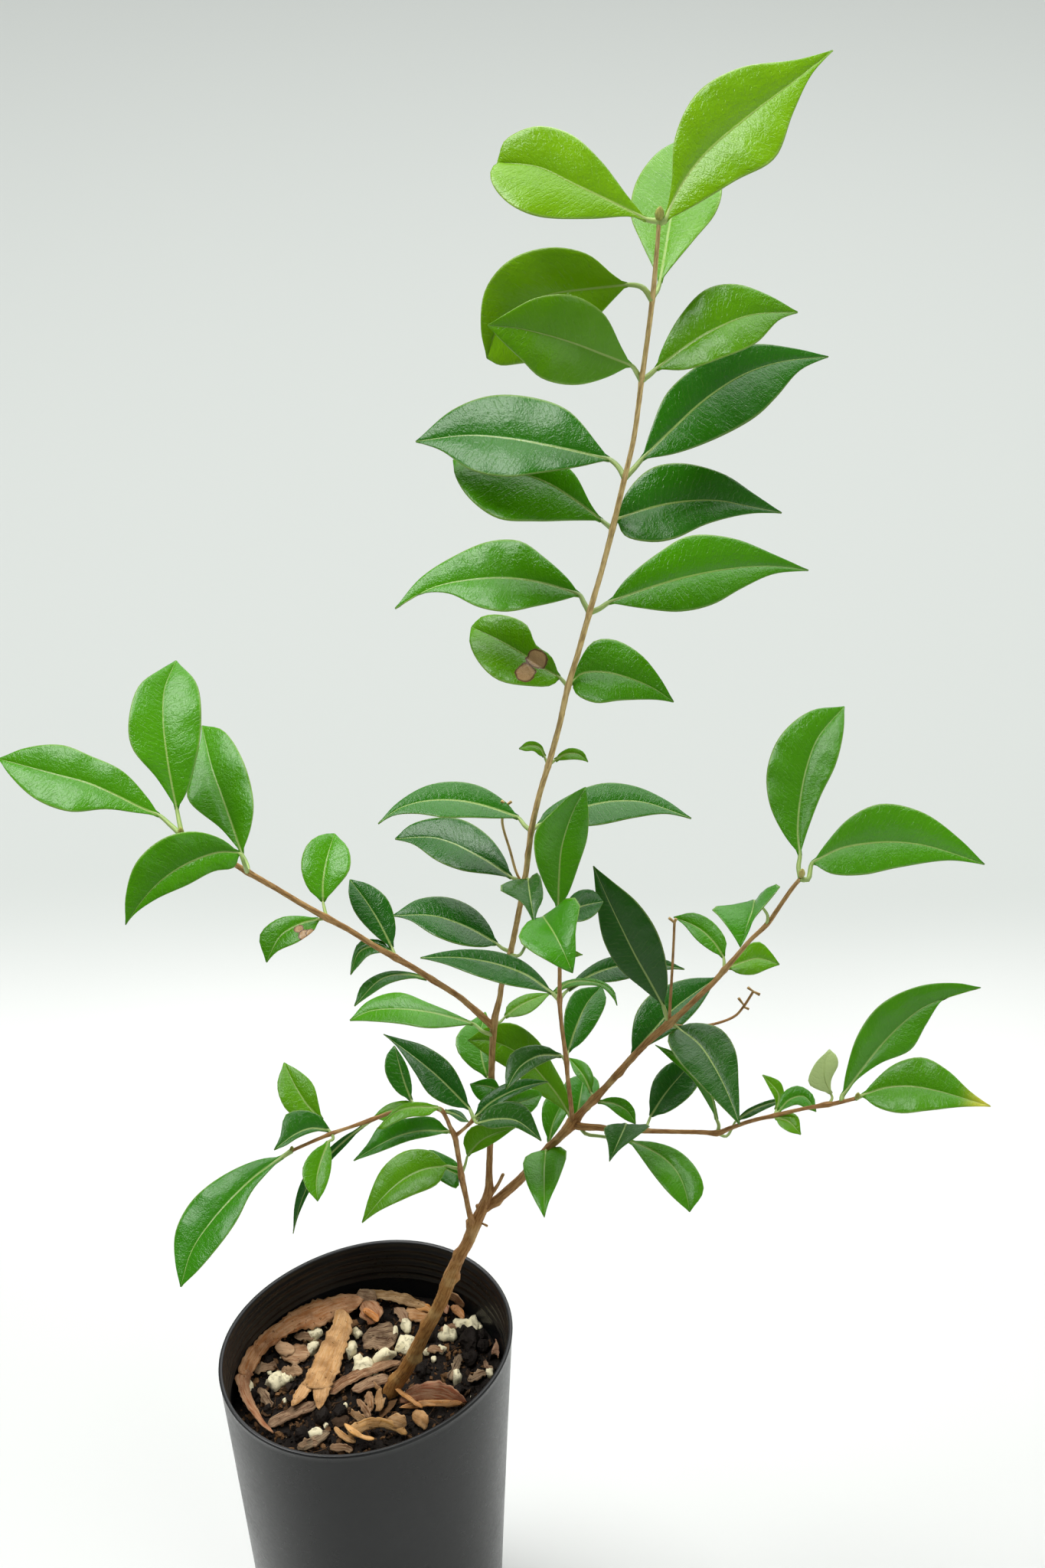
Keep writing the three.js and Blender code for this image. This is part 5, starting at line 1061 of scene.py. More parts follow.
def floor_material(stage):
    """Pale matte floor, evener and brighter far off, where it glows as painted light that also lights the
    plant.
    """
    material, wires, surface = new_material("Pale Floor")
    place = wires.place()
    grain = wires.noise(place, 1500.0, 1.0)
    low = tuple(0.95 * part for part in stage.floor_colour)
    near = wires.mix(wires.ramp(wires.noise(place, 3.0, 2.0), 0.3, 0.7), stage.floor_colour[:], low)
    ragged = wires.plus_times(wires.apart(place)["Y"], wires.noise(place, 2.2, 2.0), 0.12)
    behind = wires.ramp(ragged, stage.near_end - 0.02, stage.near_end + 0.1)
    distance = wires.add("ShaderNodeVectorMath", {0: place}, operation="LENGTH").outputs["Value"]
    far = wires.most(behind, wires.ramp(distance, 0.9, 2.4))
    dim = tuple((1 - stage.far_glow) * 0.8 * part for part in stage.far_colour)
    wires.feed(surface["Base Color"], wires.mix(far, near, dim))
    # The far floor glows though it is no lamp: painted light.
    wires.feed(surface["Emission Color"], stage.far_colour[:])
    wires.feed(surface["Emission Strength"], wires.times(far, stage.far_glow))
    wires.feed(surface["Roughness"], wires.ramp(grain, 0.3, 0.7, 0.85, 0.95))
    surface["Specular IOR Level"].default_value = 0.1
    return material


# The plant.


def read_plant():
    """Each leafy stem's shoots, stubs and leaves."""
    plant = {}
    for name, points in read_rows(STEMS):
        plant[name] = {"stems": [read_points(points)], "stubs": [], "leaves": []}
    for name, points in read_rows(SIDE_SHOOTS):
        plant[name]["stems"].append(read_points(points))
    for name, points in read_rows(STUBS):
        plant[name]["stubs"].append(read_points(points))
    growing = None
    for cells in read_rows(LEAVES):
        if len(cells) == 1:
            growing = plant[cells[0]]["leaves"]
            continue
        leaf = {"name": cells[0], "tone": cells[1], "lean": float(cells[2]), "behind": float(cells[3])}
        leaf["stalk"], leaf["rib"], *leaf["edges"] = (read_points(cell) for cell in cells[4:])
        growing.append(leaf)
    return plant


def nearest_on_stem(stems, px, py):
    """The spot on the stems nearest to a pixel, and its depth along the view."""
    best = None
    for stem in stems:
        for (ax, ay, ad, _), (bx, by, bd, _) in zip(stem, stem[1:]):
            share = ((px - ax) * (bx - ax) + (py - ay) * (by - ay)) / ((bx - ax) ** 2 + (by - ay) ** 2)
            share = min(1.0, max(0.0, share))
            spot = (ax + share * (bx - ax), ay + share * (by - ay))
            gap = math.hypot(px - spot[0], py - spot[1])
            if best is None or gap < best[0]:
                best = (gap, spot, float(reach_of_depth(*spot, ad + share * (bd - ad))))
    return best[1], best[2]


def leaf_tone(leaf, plant):
    """A leaf's green, mixed from the palette."""
    one, other, share = TONES[leaf["tone"]]
    start, end = np.array(getattr(plant, one)), np.array(getattr(plant, other))
    return start * (1 - share) + end * share


# Shares of the half width at which a blade has points, and the pixels to each of its rows.
HALF_COLUMNS = (0.05, 0.14, 0.3, 0.5, 0.7, 0.86, 0.965, 1)
BLADE_COLUMNS = np.array([*(-part for part in reversed(HALF_COLUMNS)), 0, *HALF_COLUMNS])
BLADE_ROW_PIXELS = 7
FEWEST_BLADE_ROWS = 12
MOST_BLADE_ROWS = 34
TIP_YELLOW = (0.6, 0.55, 0.05)

# Turn about the midrib and arch along it as shares of a blade's size; each leaf differs a little.
LEAF_TURN = 0.2
LEAF_ARCH = 0.05
LEAF_ARCH_CHANGE = 0.03

# Least half widths of a blade at its foot and its tip, depth of the groove and of the keel, in mm.
FOOT_HALF_WIDTH = 0.34
TIP_HALF_WIDTH = 0.1
MIDRIB_GROOVE = 0.05
MIDRIB_KEEL = 0.34

# A leaf stalk's sides and rings, its width at shares of its length, and its share of the leaf's green.
STALK_SIDES = 8
STALK_RINGS = 15
STALK_GREEN = 0.35
STALK_TAPER = ((0, 0.12, 0.5, 0.85, 1), (1.3, 1.1, 0.9, 0.7, 0.2))


def blade_surface(leaf, foot, scale, index, plant, rows):
    """A blade's depth by pixel, its arched midrib, and each edge with its gap from the midrib."""
    yaw = LEAF_TURN * math.sin(2.4 * index)

    def depth_of(point):
        behind = leaf["behind"] / scale
        if len(point) > 2:
            return behind + point[2] / scale
        return behind + leaf["lean"] * (foot[1] - point[1]) + yaw * (point[0] - foot[0])

    rib = smooth([[p[0], p[1], depth_of(p)] for p in leaf["rib"]], rows)
    base, tip = leaf["rib"][0][:2], leaf["rib"][-1][:2]
    edges = [smooth([base, *[p[:2] for p in edge], tip], rows) for edge in leaf["edges"]]
    half = rows // 2
    forward = rib[half + 2, :2] - rib[half - 2, :2]
    apart = edges[1][half] - edges[0][half]
    if forward[0] * apart[1] - forward[1] * apart[0] < 0:
        edges.reverse()
    length = np.linalg.norm(rib[0] - rib[-1])
    share = np.linspace(0, 1, rows + 1)
    arch = (LEAF_ARCH + LEAF_ARCH_CHANGE * math.sin(1.7 * index)) * length
    middle = rib.copy()
    middle[:, 2] -= arch * 4 * share * (1 - share)
    forward = np.gradient(middle[:, :2], axis=0)
    side = unit(np.stack([forward[:, 1], -forward[:, 0]], axis=-1))
    narrow = (FOOT_HALF_WIDTH * fade(share, 0.35, 0.0) + TIP_HALF_WIDTH) / scale
    sides = []
    for edge, sign in zip(edges, (1, -1)):
        gap = np.linalg.norm(edge - middle[:, :2], axis=1)
        least = middle[:, :2] + sign * side * narrow[:, None]
        edge = np.where((gap < narrow)[:, None], least, edge)
        gap = np.maximum(gap, narrow)
        tilt = leaf["lean"] * (middle[:, 1] - edge[:, 1]) + yaw * (edge[:, 0] - middle[:, 0])
        depth = middle[:, 2] + tilt - plant.fold * gap
        sides.append((np.column_stack([edge, depth]), gap))
    return depth_of, middle, sides, share


def add_leaf(shape, leaf, stems, index, plant):
    """Adds a round stalk and a thin folded blade with waved edges; the blade's points come back."""
    foot, foot_reach = nearest_on_stem(stems, *leaf["stalk"][0][:2])
    scale = foot_reach / FOCAL
    long_way = sum(math.dist(a[:2], b[:2]) for a, b in zip(leaf["rib"], leaf["rib"][1:]))
    rows = int(min(MOST_BLADE_ROWS, max(FEWEST_BLADE_ROWS, long_way / BLADE_ROW_PIXELS)))
    depth_of, middle, sides, share = blade_surface(leaf, foot, scale, index, plant, rows)
    place = np.abs(BLADE_COLUMNS)
    sheet = np.zeros((rows + 1, len(place), 3))
    across = np.zeros((rows + 1, len(place)))
    gone = length_gone(middle) * scale
    wave = millimetres(plant.wave) / scale
    for k, column in enumerate(BLADE_COLUMNS):
        u = abs(column)
        edge, gap = sides[0] if column < 0 else sides[1]
        sheet[:, k] = middle * (1 - u) + edge * u
        phase = 2.2 * index + (1.7 if column < 0 else 0)
        ripple = np.sin(gone / (1.1 + 0.35 * math.sin(index)) + phase)
        size = np.minimum(1.0, gap * scale / 7)
        sheet[:, k, 2] -= gap * plant.pillow * math.sin(math.pi * u)
        sheet[:, k, 2] += wave * u**2 * ripple * size * np.sin(np.pi * share)
        across[:, k] = column * gap * scale
    points = point_at(sheet[..., 0], sheet[..., 1], foot_reach + sheet[..., 2] * scale)
    normal = sheet_normals(points)
    turned_away = (normal * (EYE - points)).sum(axis=-1).mean() < 0
    if turned_away != (leaf["tone"] == "pale"):
        normal = -normal
    thickness = millimetres(plant.blade_thickness) * np.where(place > 0.97, 0.3, 1.0)[None, :, None] / 2
    wide = np.maximum(0.2, 0.42 * (1 - 0.7 * share))[:, None]
    ridge = np.exp(-((across / wide) ** 2))[..., None]
    keel = (MIDRIB_KEEL * (1 - share) ** 0.7 + 0.03)[:, None, None]
    upper = points + normal * (thickness - MIDRIB_GROOVE * ridge)
    lower = points - normal * (thickness + keel * ridge)
    tones = np.ones((rows + 1, 2 * len(place), 4))
    tones[..., :3] = leaf_tone(leaf, plant)
    if leaf["tone"] == "tipyellow":
        turning = fade(share, 0.72, 1.0)[:, None, None]
        tones[..., :3] = tones[..., :3] * (1 - turning) + np.array(TIP_YELLOW) * turning
    tones[..., 3] = share[:, None]
    slots = np.array([0] * len(place) + [1] * (len(place) - 1) + [0])
    shape.stack(two_faces(upper, lower), slots, sheet_run(across, BLADE_COLUMNS, gone), tones)
    stalk = [[*foot, 0.0]] + [[p[0], p[1], depth_of(p)] for p in leaf["stalk"][1:]]
    behind = np.array([0, 0, 0.22 / scale])
    ends = [middle[0] + behind * 0.4]
    ends += [middle[row] + behind for row in (max(1, rows // 14), max(2, rows // 6))]
    line = smooth(stalk + [list(end) for end in ends], STALK_RINGS - 1)
    centres = point_at(line[:, 0], line[:, 1], foot_reach + line[:, 2] * scale)
    thick = millimetres(plant.stalk_width) / 2 * min(1.0, 0.5 + long_way / 480)
    radii = thick * np.interp(np.linspace(0, 1, STALK_RINGS), *STALK_TAPER)
    green = leaf_tone(leaf, plant) * STALK_GREEN + np.array(plant.midrib) * (1 - STALK_GREEN)
    shape.tube(centres, radii, STALK_SIDES, 2, (*green, 0.0))
    return points


# Heights in mm above which bark is young and below which it is aged; radii in mm of thick, old wood.
YOUNG_ABOVE = 330
AGED_BELOW = 150
OLD_WOOD = (0.9, 1.9)


def bark_tones(centres, radii, plant, aged):
    """Straw-coloured at the top, tan along the branches and brown on the trunk."""
    height = centres[:, 2]
    age = aged + (0.7 - aged) * fade(height, YOUNG_ABOVE, AGED_BELOW) + 0.42 * fade(radii, *OLD_WOOD)
    golden, tan, brown = (np.array(colour) for colour in (plant.golden, plant.tan, plant.brown))
    low = np.clip(age / 0.62, 0, 1)[:, None]
    high = np.clip((age - 0.62) / 0.5, 0, 1)[:, None]
    colour = (golden * (1 - low) + tan * low) * (1 - high) + brown * high
    return np.column_stack([colour, np.linspace(0, 1, len(centres))])


# Share of its seen width that a stem has, mm between its rings, and pixels from it to its knobs.
STEM_SHARE = 0.87
STEM_STEP = 0.75
KNOB_REACH = 28

# How much a leaf's foot swells the stem, and mm that a swelling and a knob spread along it.
SWELLING = 0.08
SWELLING_SPREAD = 0.9
KNOB_SPREAD = 1.3


def add_stem(shape, points, feet, knobs, plant, seed, aged=0.0):
    """A round stem with swellings at the leaf feet, knobs and fine lengthwise unevenness."""
    pixels = np.array(points)
    reach = reach_of_depth(pixels[:, 0], pixels[:, 1], pixels[:, 2])
    knots = point_at(pixels[:, 0], pixels[:, 1], reach)
    gone = length_gone(knots)
    length = gone[-1]
    centres = smooth(knots, max(4, int(length / STEM_STEP)))
    share = np.linspace(0, 1, len(centres))
    radii = STEM_SHARE * np.interp(share, gone / length, pixels[:, 3] / 2 * reach / FOCAL)
    for foot in feet:
        away = np.linalg.norm(centres - foot, axis=1)
        radii = radii + SWELLING * radii * np.exp(-((away / SWELLING_SPREAD) ** 2))
    sides = 16 if radii.max() > 1.3 else 12
    turn = full_turn(sides)
    parts = (np.cos(turn) * 1.1, np.sin(turn) * 1.1, share[:, None] * length / 2.2)
    surface = np.stack(np.broadcast_arrays(*parts), axis=-1)
    uneven = 1 + 0.07 * rough_at(surface, 0.8, seed) + 0.05 * rough_at(surface, 0.3, seed + 3)
    for px, py, way, size in knobs:
        spot = np.argmin(np.hypot(*(seen_at(centres) - [px, py]).T))
        away = np.linalg.norm(centres - centres[spot], axis=1)
        facing = np.maximum(0, np.cos(turn - (0 if way > 0 else math.pi))) ** 2
        spread = np.exp(-((away / KNOB_SPREAD) ** 2))[:, None]
        uneven = uneven + size * spread * facing / radii[:, None]
    shape.tube(centres, radii, sides, 0, bark_tones(centres, radii, plant, aged), uneven)


def add_bud(shape, px, py, depth, length, plant):
    """A small pointed bud that carries the shoot on."""
    centre = point_at(px, py, reach_of_depth(px, py, depth))
    way = unit(np.array([0.1, 0.15, 1.0]))
    share = np.linspace(0, 1, 8)
    radii = 0.34 * length * np.sqrt(np.maximum(0.02, np.sin(np.pi * (0.12 + 0.86 * share)) ** 1.3))
    tone = np.array(plant.golden) * 0.4 + np.array(plant.young) * 0.6
    shape.tube(centre + way * (share[:, None] - 0.25) * length, radii, 10, 0, (*tone, 0.0))


def knobs_near(stem):
    """The knobs that lie on a stem."""
    near = []
    for px, py, way, size in read_points(KNOBS):
        gap = min(math.hypot(px - p[0], py - p[1]) for p in stem)
        if gap < KNOB_REACH:
            near.append((px, py, way, size))
    return near


# The pot.


def wall_radius(pot, turn, height):
    """Outside of the pot's slightly oval wall."""
    rim, base, tall = (millimetres(value) for value in (pot.rim_radius, pot.base_radius, pot.height))
    straight = base + (rim - base) * height / tall
    pressed = np.clip(1 - (tall - height) / millimetres(pot.oval_depth), 0, 1)
    return straight * (1 + pot.ovalness * pressed * np.cos(2 * (turn - pot.oval_turn)))


def pressed_rings(pot, profile, sides):
    """Rings of the oval section: inset from the outside of the wall, height and share of the radius."""
    turn = full_turn(sides)
    rings = []
    for inset, height, share in profile:
        radius = (wall_radius(pot, turn, height) - inset) * share
        parts = (radius * np.cos(turn), radius * np.sin(turn), np.full(sides, height))
        rings.append(np.stack(parts, axis=-1))
    return np.array(rings)


# Insets and heights of the pot's section in mm: up from the ground, down from the rim, past a groove.
FOOT = ((1.4, 0.0), (0.55, 0.12), (0.12, 0.6), (0.0, 1.3))
LIP = ((0.0, 1.0), (-0.05, 0.85), (-0.1, 0.6), (-0.1, 0.3), (-0.02, 0.1), (0.18, 0.0))
INNER_LIP = ((-0.25, 0.0), (-0.05, 0.15), (0.03, 0.5), (0.0, 1.2))
GROOVE = ((0.0, 0.0), (0.34, 0.35), (0.34, 0.8), (0.0, 1.15), (0.0, 1.9))
GROOVE_START = 2.0
GROOVE_STEP = 2.6


def pot_profile(pot):
    """Up the outside, over the rounded lip, down the grooved inside to the floor."""
    tall, wall, floor = (millimetres(value) for value in (pot.height, pot.wall, pot.floor))
    profile = [*FOOT, *((0.0, height) for height in np.linspace(4, tall - 2.4, 34))]
    profile += [(inset, tall - drop) for inset, drop in LIP]
    profile += [(wall + inset, tall - drop) for inset, drop in INNER_LIP]
    for k in range(pot.grooves):
        top = tall - GROOVE_START - GROOVE_STEP * k
        profile += [(wall + inset, top - drop) for inset, drop in GROOVE]
    low = tall - GROOVE_STEP * pot.grooves - 3
    profile += [(wall, height) for height in np.linspace(low, floor + 1.2, 24)]
    profile += [(wall + 0.3, floor + 0.35), (wall + 1.0, floor)]
    return [(*point, 1.0) for point in profile]


def cut_holes(piece, pot):
    """Drills the drain holes through the floor."""
    cutters = []
    for k in range(pot.drain_holes):
        turn = 2 * math.pi * (k + 0.5) / pot.drain_holes
        bpy.ops.mesh.primitive_cylinder_add(
            vertices=40,
            radius=pot.drain_diameter / 2,
            depth=4 * pot.floor,
            location=(pot.drain_ring * math.cos(turn), pot.drain_ring * math.sin(turn), pot.floor / 2),
        )
        cutters.append(bpy.context.object)
        cut = piece.modifiers.new("Drain", "BOOLEAN")
        cut.operation = "DIFFERENCE"
        cut.solver = "EXACT"
        cut.object = cutters[-1]
    freeze(piece)
    for cutter in cutters:
        bpy.data.objects.remove(cutter, do_unlink=True)


def freeze(piece):
    """Turns a piece with its modifiers into a plain mesh."""
    graph = bpy.context.evaluated_depsgraph_get()
    shaped = piece.evaluated_get(graph)
    mesh = bpy.data.meshes.new_from_object(shaped, preserve_all_data_layers=True, depsgraph=graph)
    piece.modifiers.clear()
    piece.data = mesh


# The mix.


def bed_height(points, mix):
    """Uneven top of the mix."""
    return millimetres(mix.level) + 0.55 * rough_at(points, 5.0, 2) + 0.4 * rough_at(points, 1.7, 5)


def bed_rings(pot, mix, shares, sides, inset):
    """Rings of the mix's top from the wall inwards."""
    level = millimetres(mix.level)
    rings = pressed_rings(pot, [(inset, level, share) for share in shares], sides)
    rings[..., 2] = bed_height(rings, mix)
    return rings


# Shapes to scatter are a metre long, so that their scale is their length; both radii are in mm.
CHIP_REACH = 500
THREAD_RADIUS = 11


def chips(count, sides, seed, flat_share=1.0):
    """Small rough shapes to scatter."""
    made = []
    for k in range(count):
        shape = Shape()
        flat = (0.35 + 0.5 * ((k * 0.37) % 1)) * flat_share
        wide = 0.35 + 0.6 * ((k * 0.61) % 1)
        radii = (CHIP_REACH, CHIP_REACH * wide, CHIP_REACH * flat)
        shape.lump(np.zeros(3), radii, seed + k, 0.45, sides, 4)
        made.append(shape.make(f"chip_{seed}_{k}", [], False))
    return made


def bent_threads(count):
    """Thin bent threads to scatter."""
    made = []
    for k in range(count):
        shape = Shape()
        bend = 0.3 + 0.25 * k
        share = np.linspace(-1, 1, 7)
        bow, twist = bend * 160 * (1 - share**2), 60 * np.sin(3 * share + k)
        line = np.stack([share * CHIP_REACH, bow, twist], axis=-1)
        turn = full_turn(4)
        ring = np.stack([np.zeros(4), np.cos(turn) * THREAD_RADIUS, np.sin(turn) * THREAD_RADIUS], axis=-1)
        shape.stack(line[:, None] + ring)
        made.append(shape.make(f"thread_{k}", []))
    return made


FULL_TURN = 6.283
SCATTER_DEFAULTS = {"Density": 100.0, "Smallest": 0.001, "Largest": 0.002, "Tilt": 3.1, "Sink": 0.0}


def scatter_tree(name, things, material):
    """Scatters the collection's things over a surface, each turned, sized and shaded by chance."""
    tree = bpy.data.node_groups.new(name, "GeometryNodeTree")
    face = tree.interface
    face.new_socket("Geometry", in_out="INPUT", socket_type="NodeSocketGeometry")
    for label, default in SCATTER_DEFAULTS.items():
        face.new_socket(label, in_out="INPUT", socket_type="NodeSocketFloat").default_value = default
    face.new_socket("Seed", in_out="INPUT", socket_type="NodeSocketInt")
    face.new_socket("Geometry", in_out="OUTPUT", socket_type="NodeSocketGeometry")
    wires = Wires(tree)
    given = wires.add("NodeGroupInput").outputs
    spots = wires.add(
        "GeometryNodeDistributePointsOnFaces",
        {"Mesh": given["Geometry"], "Density": given["Density"], "Seed": given["Seed"]},
        distribute_method="RANDOM",
    )
    sunk = wires.add("GeometryNodeSetPosition", {"Geometry": spots.outputs["Points"]})
    wires.feed(sunk.inputs["Offset"], wires.join(Z=wires.times(given["Sink"], -1.0)))
    tilt = wires.join(X=given["Tilt"], Y=given["Tilt"], Z=FULL_TURN)
    turn = wires.add("FunctionNodeRandomValue", {1: tilt, "Seed": given["Seed"]}, data_type="FLOAT_VECTOR")
    chance = wires.add("FunctionNodeRandomValue", {"Seed": wires.maths("ADD", given["Seed"], 11)})
    skewed = wires.maths("POWER", chance.outputs[1], 2.2)
    spread = wires.maths("SUBTRACT", given["Largest"], given["Smallest"])
    width = wires.plus_times(given["Smallest"], skewed, spread)
    picked = {"Collection": things, "Separate Children": True, "Reset Children": True}
    source = wires.add("GeometryNodeCollectionInfo", picked)
    placed = wires.add(
        "GeometryNodeInstanceOnPoints",
        {"Points": sunk.outputs[0], "Instance": source.outputs[0], "Pick Instance": True, "Scale": width},
    )
    wires.feed(placed.inputs["Rotation"], turn.outputs[0])
    shade = wires.add("FunctionNodeRandomValue", {"Seed": wires.maths("ADD", given["Seed"], 5)})
    marked = {"Geometry": placed.outputs[0], "Name": "shade"}
    noted = wires.add("GeometryNodeStoreNamedAttribute", marked, data_type="FLOAT", domain="INSTANCE")
    value = [socket for socket in noted.inputs if socket.name == "Value" and socket.enabled][0]
    wires.feed(value, shade.outputs[1])
    real = wires.add("GeometryNodeRealizeInstances", {"Geometry": noted.outputs[0]})
    dressed = wires.add("GeometryNodeSetMaterial", {"Geometry": real.outputs[0], "Material": material})
    wires.add("NodeGroupOutput", {"Geometry": dressed.outputs[0]})
    return tree


def scatter(name, ground, things, material, **values):
    """Scatters the things over the ground, as one plain mesh."""
    shelf = bpy.data.collections.new(name + " shapes")
    bpy.context.scene.collection.children.link(shelf)
    for thing in things:
        shelf.objects.link(thing)
        bpy.context.scene.collection.objects.unlink(thing)
    tree = scatter_tree(name, shelf, material)
    piece = bpy.data.objects.new(name, ground.data.copy())
    bpy.context.scene.collection.objects.link(piece)
    layer = piece.modifiers.new("Scatter", "NODES")
    layer.node_group = tree
    for item in tree.interface.items_tree:
        if item.in_out == "INPUT" and item.name in values:
            layer[item.identifier] = values[item.name]
    freeze(piece)
    for thing in things:
        bpy.data.objects.remove(thing, do_unlink=True)
    bpy.data.collections.remove(shelf)
    settle_piece(piece, "mix")


# The litter.


def inside_pot(points, pot, margin):
    """Keeps points inside the pot's wall."""
    flat = np.linalg.norm(points[..., :2], axis=-1)
    turn = np.arctan2(points[..., 1], points[..., 0])
    limit = wall_radius(pot, turn, points[..., 2]) - millimetres(pot.wall) - margin
    pull = np.minimum(1.0, limit / flat.clip(1e-6))
    kept = points.copy()
    kept[..., :2] *= pull[..., None]
    return kept


LITTER_WARMTH = (1.25, 1.1, 0.95)

# Points across a dry piece, mm to a pixel at the litter, mm between its rows, and mm to the pot's wall.
LITTER_COLUMNS = 11
LITTER_PIXEL = 0.21
LITTER_STEP = 0.7
LITTER_MARGIN = 0.55

# Rise of the middle as a share of the width, for a piece and for a small one.
LITTER_RISE = 0.32
HUSK_RISE = 0.06


def colour_of(text):
    """Scene-linear colour of a hexadecimal screen colour, made warmer."""
    parts = [int(text[i : i + 2], 16) / 255 for i in (1, 3, 5)]
    linear = [part / 12.92 if part <= 0.04045 else ((part + 0.055) / 1.055) ** 2.4 for part in parts]
    return [warm * part for warm, part in zip(LITTER_WARMTH, linear)]


def litter_sheet(edge, other, pot, litter, drop, seed, small=False):
    """Rows of points of a dry piece's middle sheet."""
    one, two = (np.array(read_points(text)) for text in (edge, other))
    run = max(length_gone(line[:, :2])[-1] for line in (one, two)) * LITTER_PIXEL
    rows = int(min(120, max(14, run / LITTER_STEP)))
    sheets = []
    for line in (one, two):
        curve = smooth(line, rows)
        level = on_level(curve[:, 0], curve[:, 1], curve[:, 2] - drop)
        sheets.append(inside_pot(level, pot, LITTER_MARGIN))
    left, right = sheets
    place = np.linspace(0, 1, LITTER_COLUMNS)
    points = left[:, None] * (1 - place)[None, :, None] + right[:, None] * place[None, :, None]
    width = np.linalg.norm(right - left, axis=1)
    rise = HUSK_RISE if small else LITTER_RISE
    points[..., 2] += (rise * width)[:, None] * place * (1 - place)
    crinkle = millimetres(litter.crinkle)
    fine = 0.4 * crinkle * rough_at(points, 1.0, seed + 9)
    points[..., 2] += crinkle * rough_at(points, 2.6, seed) + fine
    ragged = litter.ragged * (2.6 if small else 1.0)
    torn = rough_at(points[:, [0, -1]], 0.7 if small else 1.0, seed + 4) * ragged * width[:, None]
    way = unit(right - left)
    pull = np.clip(np.abs(place - 0.5) * 2, 0, 1) ** 3
    points[:, :5] -= way[:, None] * (torn[:, :1] * pull[:5])[..., None]
    points[:, 6:] += way[:, None] * (torn[:, 1:] * pull[6:])[..., None]
    count = np.arange(rows + 1)
    taper = np.minimum(1, np.minimum(count, count[::-1]) / 2.5 + 0.35)[:, None, None]
    middle = points.mean(axis=1, keepdims=True)
    return middle + (points - middle) * taper, width


def add_litter(shape, edge, other, pot, litter, drop, tone, seed, small=False):
    """Adds a thin dry piece between its two traced edges."""
    points, width = litter_sheet(edge, other, pot, litter, drop, seed, small)
    normal = sheet_normals(points)
    if normal[..., 2].mean() < 0:
        normal = -normal
    place = np.linspace(-1, 1, LITTER_COLUMNS)
    half = millimetres(litter.thickness) / 2 * np.where(np.abs(place) == 1, 0.4, 1.0)
    rise = normal * half[None, :, None]
    run = sheet_run(place / 2 * width[:, None], place, length_gone(points[:, LITTER_COLUMNS // 2]))
    shape.stack(two_faces(points + rise, points - rise), 0, run, (*tone, 1.0))


# Operators.


class BuildMaterials(Operator):
    """Make the shader groups that the finishes share"""

    bl_idname = "myrtle.finishes"
    bl_label = "Shared Finishes"
    bl_options = {"REGISTER", "UNDO"}

    def execute(self, context):
        mottle_group()
        streak_group()
        vein_group()
        spot_group()
        return {"FINISHED"}


# Points round the pot, round the bed of mix and round the sheet that things are scattered on.
POT_SIDES = 144
BED_SIDES = 160
GROUND_SIDES = 90


class BuildPot(Operator):
    """Make the tube pot"""

    bl_idname = "myrtle.pot"
    bl_label = "Pot"
    bl_options = {"REGISTER", "UNDO"}

    def execute(self, context):
        pot = context.scene.myrtle_pot
        shape = Shape()
        shape.stack(pressed_rings(pot, pot_profile(pot), POT_SIDES))
        piece = shape.make("tube_pot", [plastic_material(pot)])
        cut_holes(piece, pot)
        settle_piece(piece, "pot_plastic", "pot")
        return {"FINISHED"}


# Heights in mm at which the lumps are seen and rest.
LUMP_SEEN = 101.3
LUMP_FOOT = 100.9


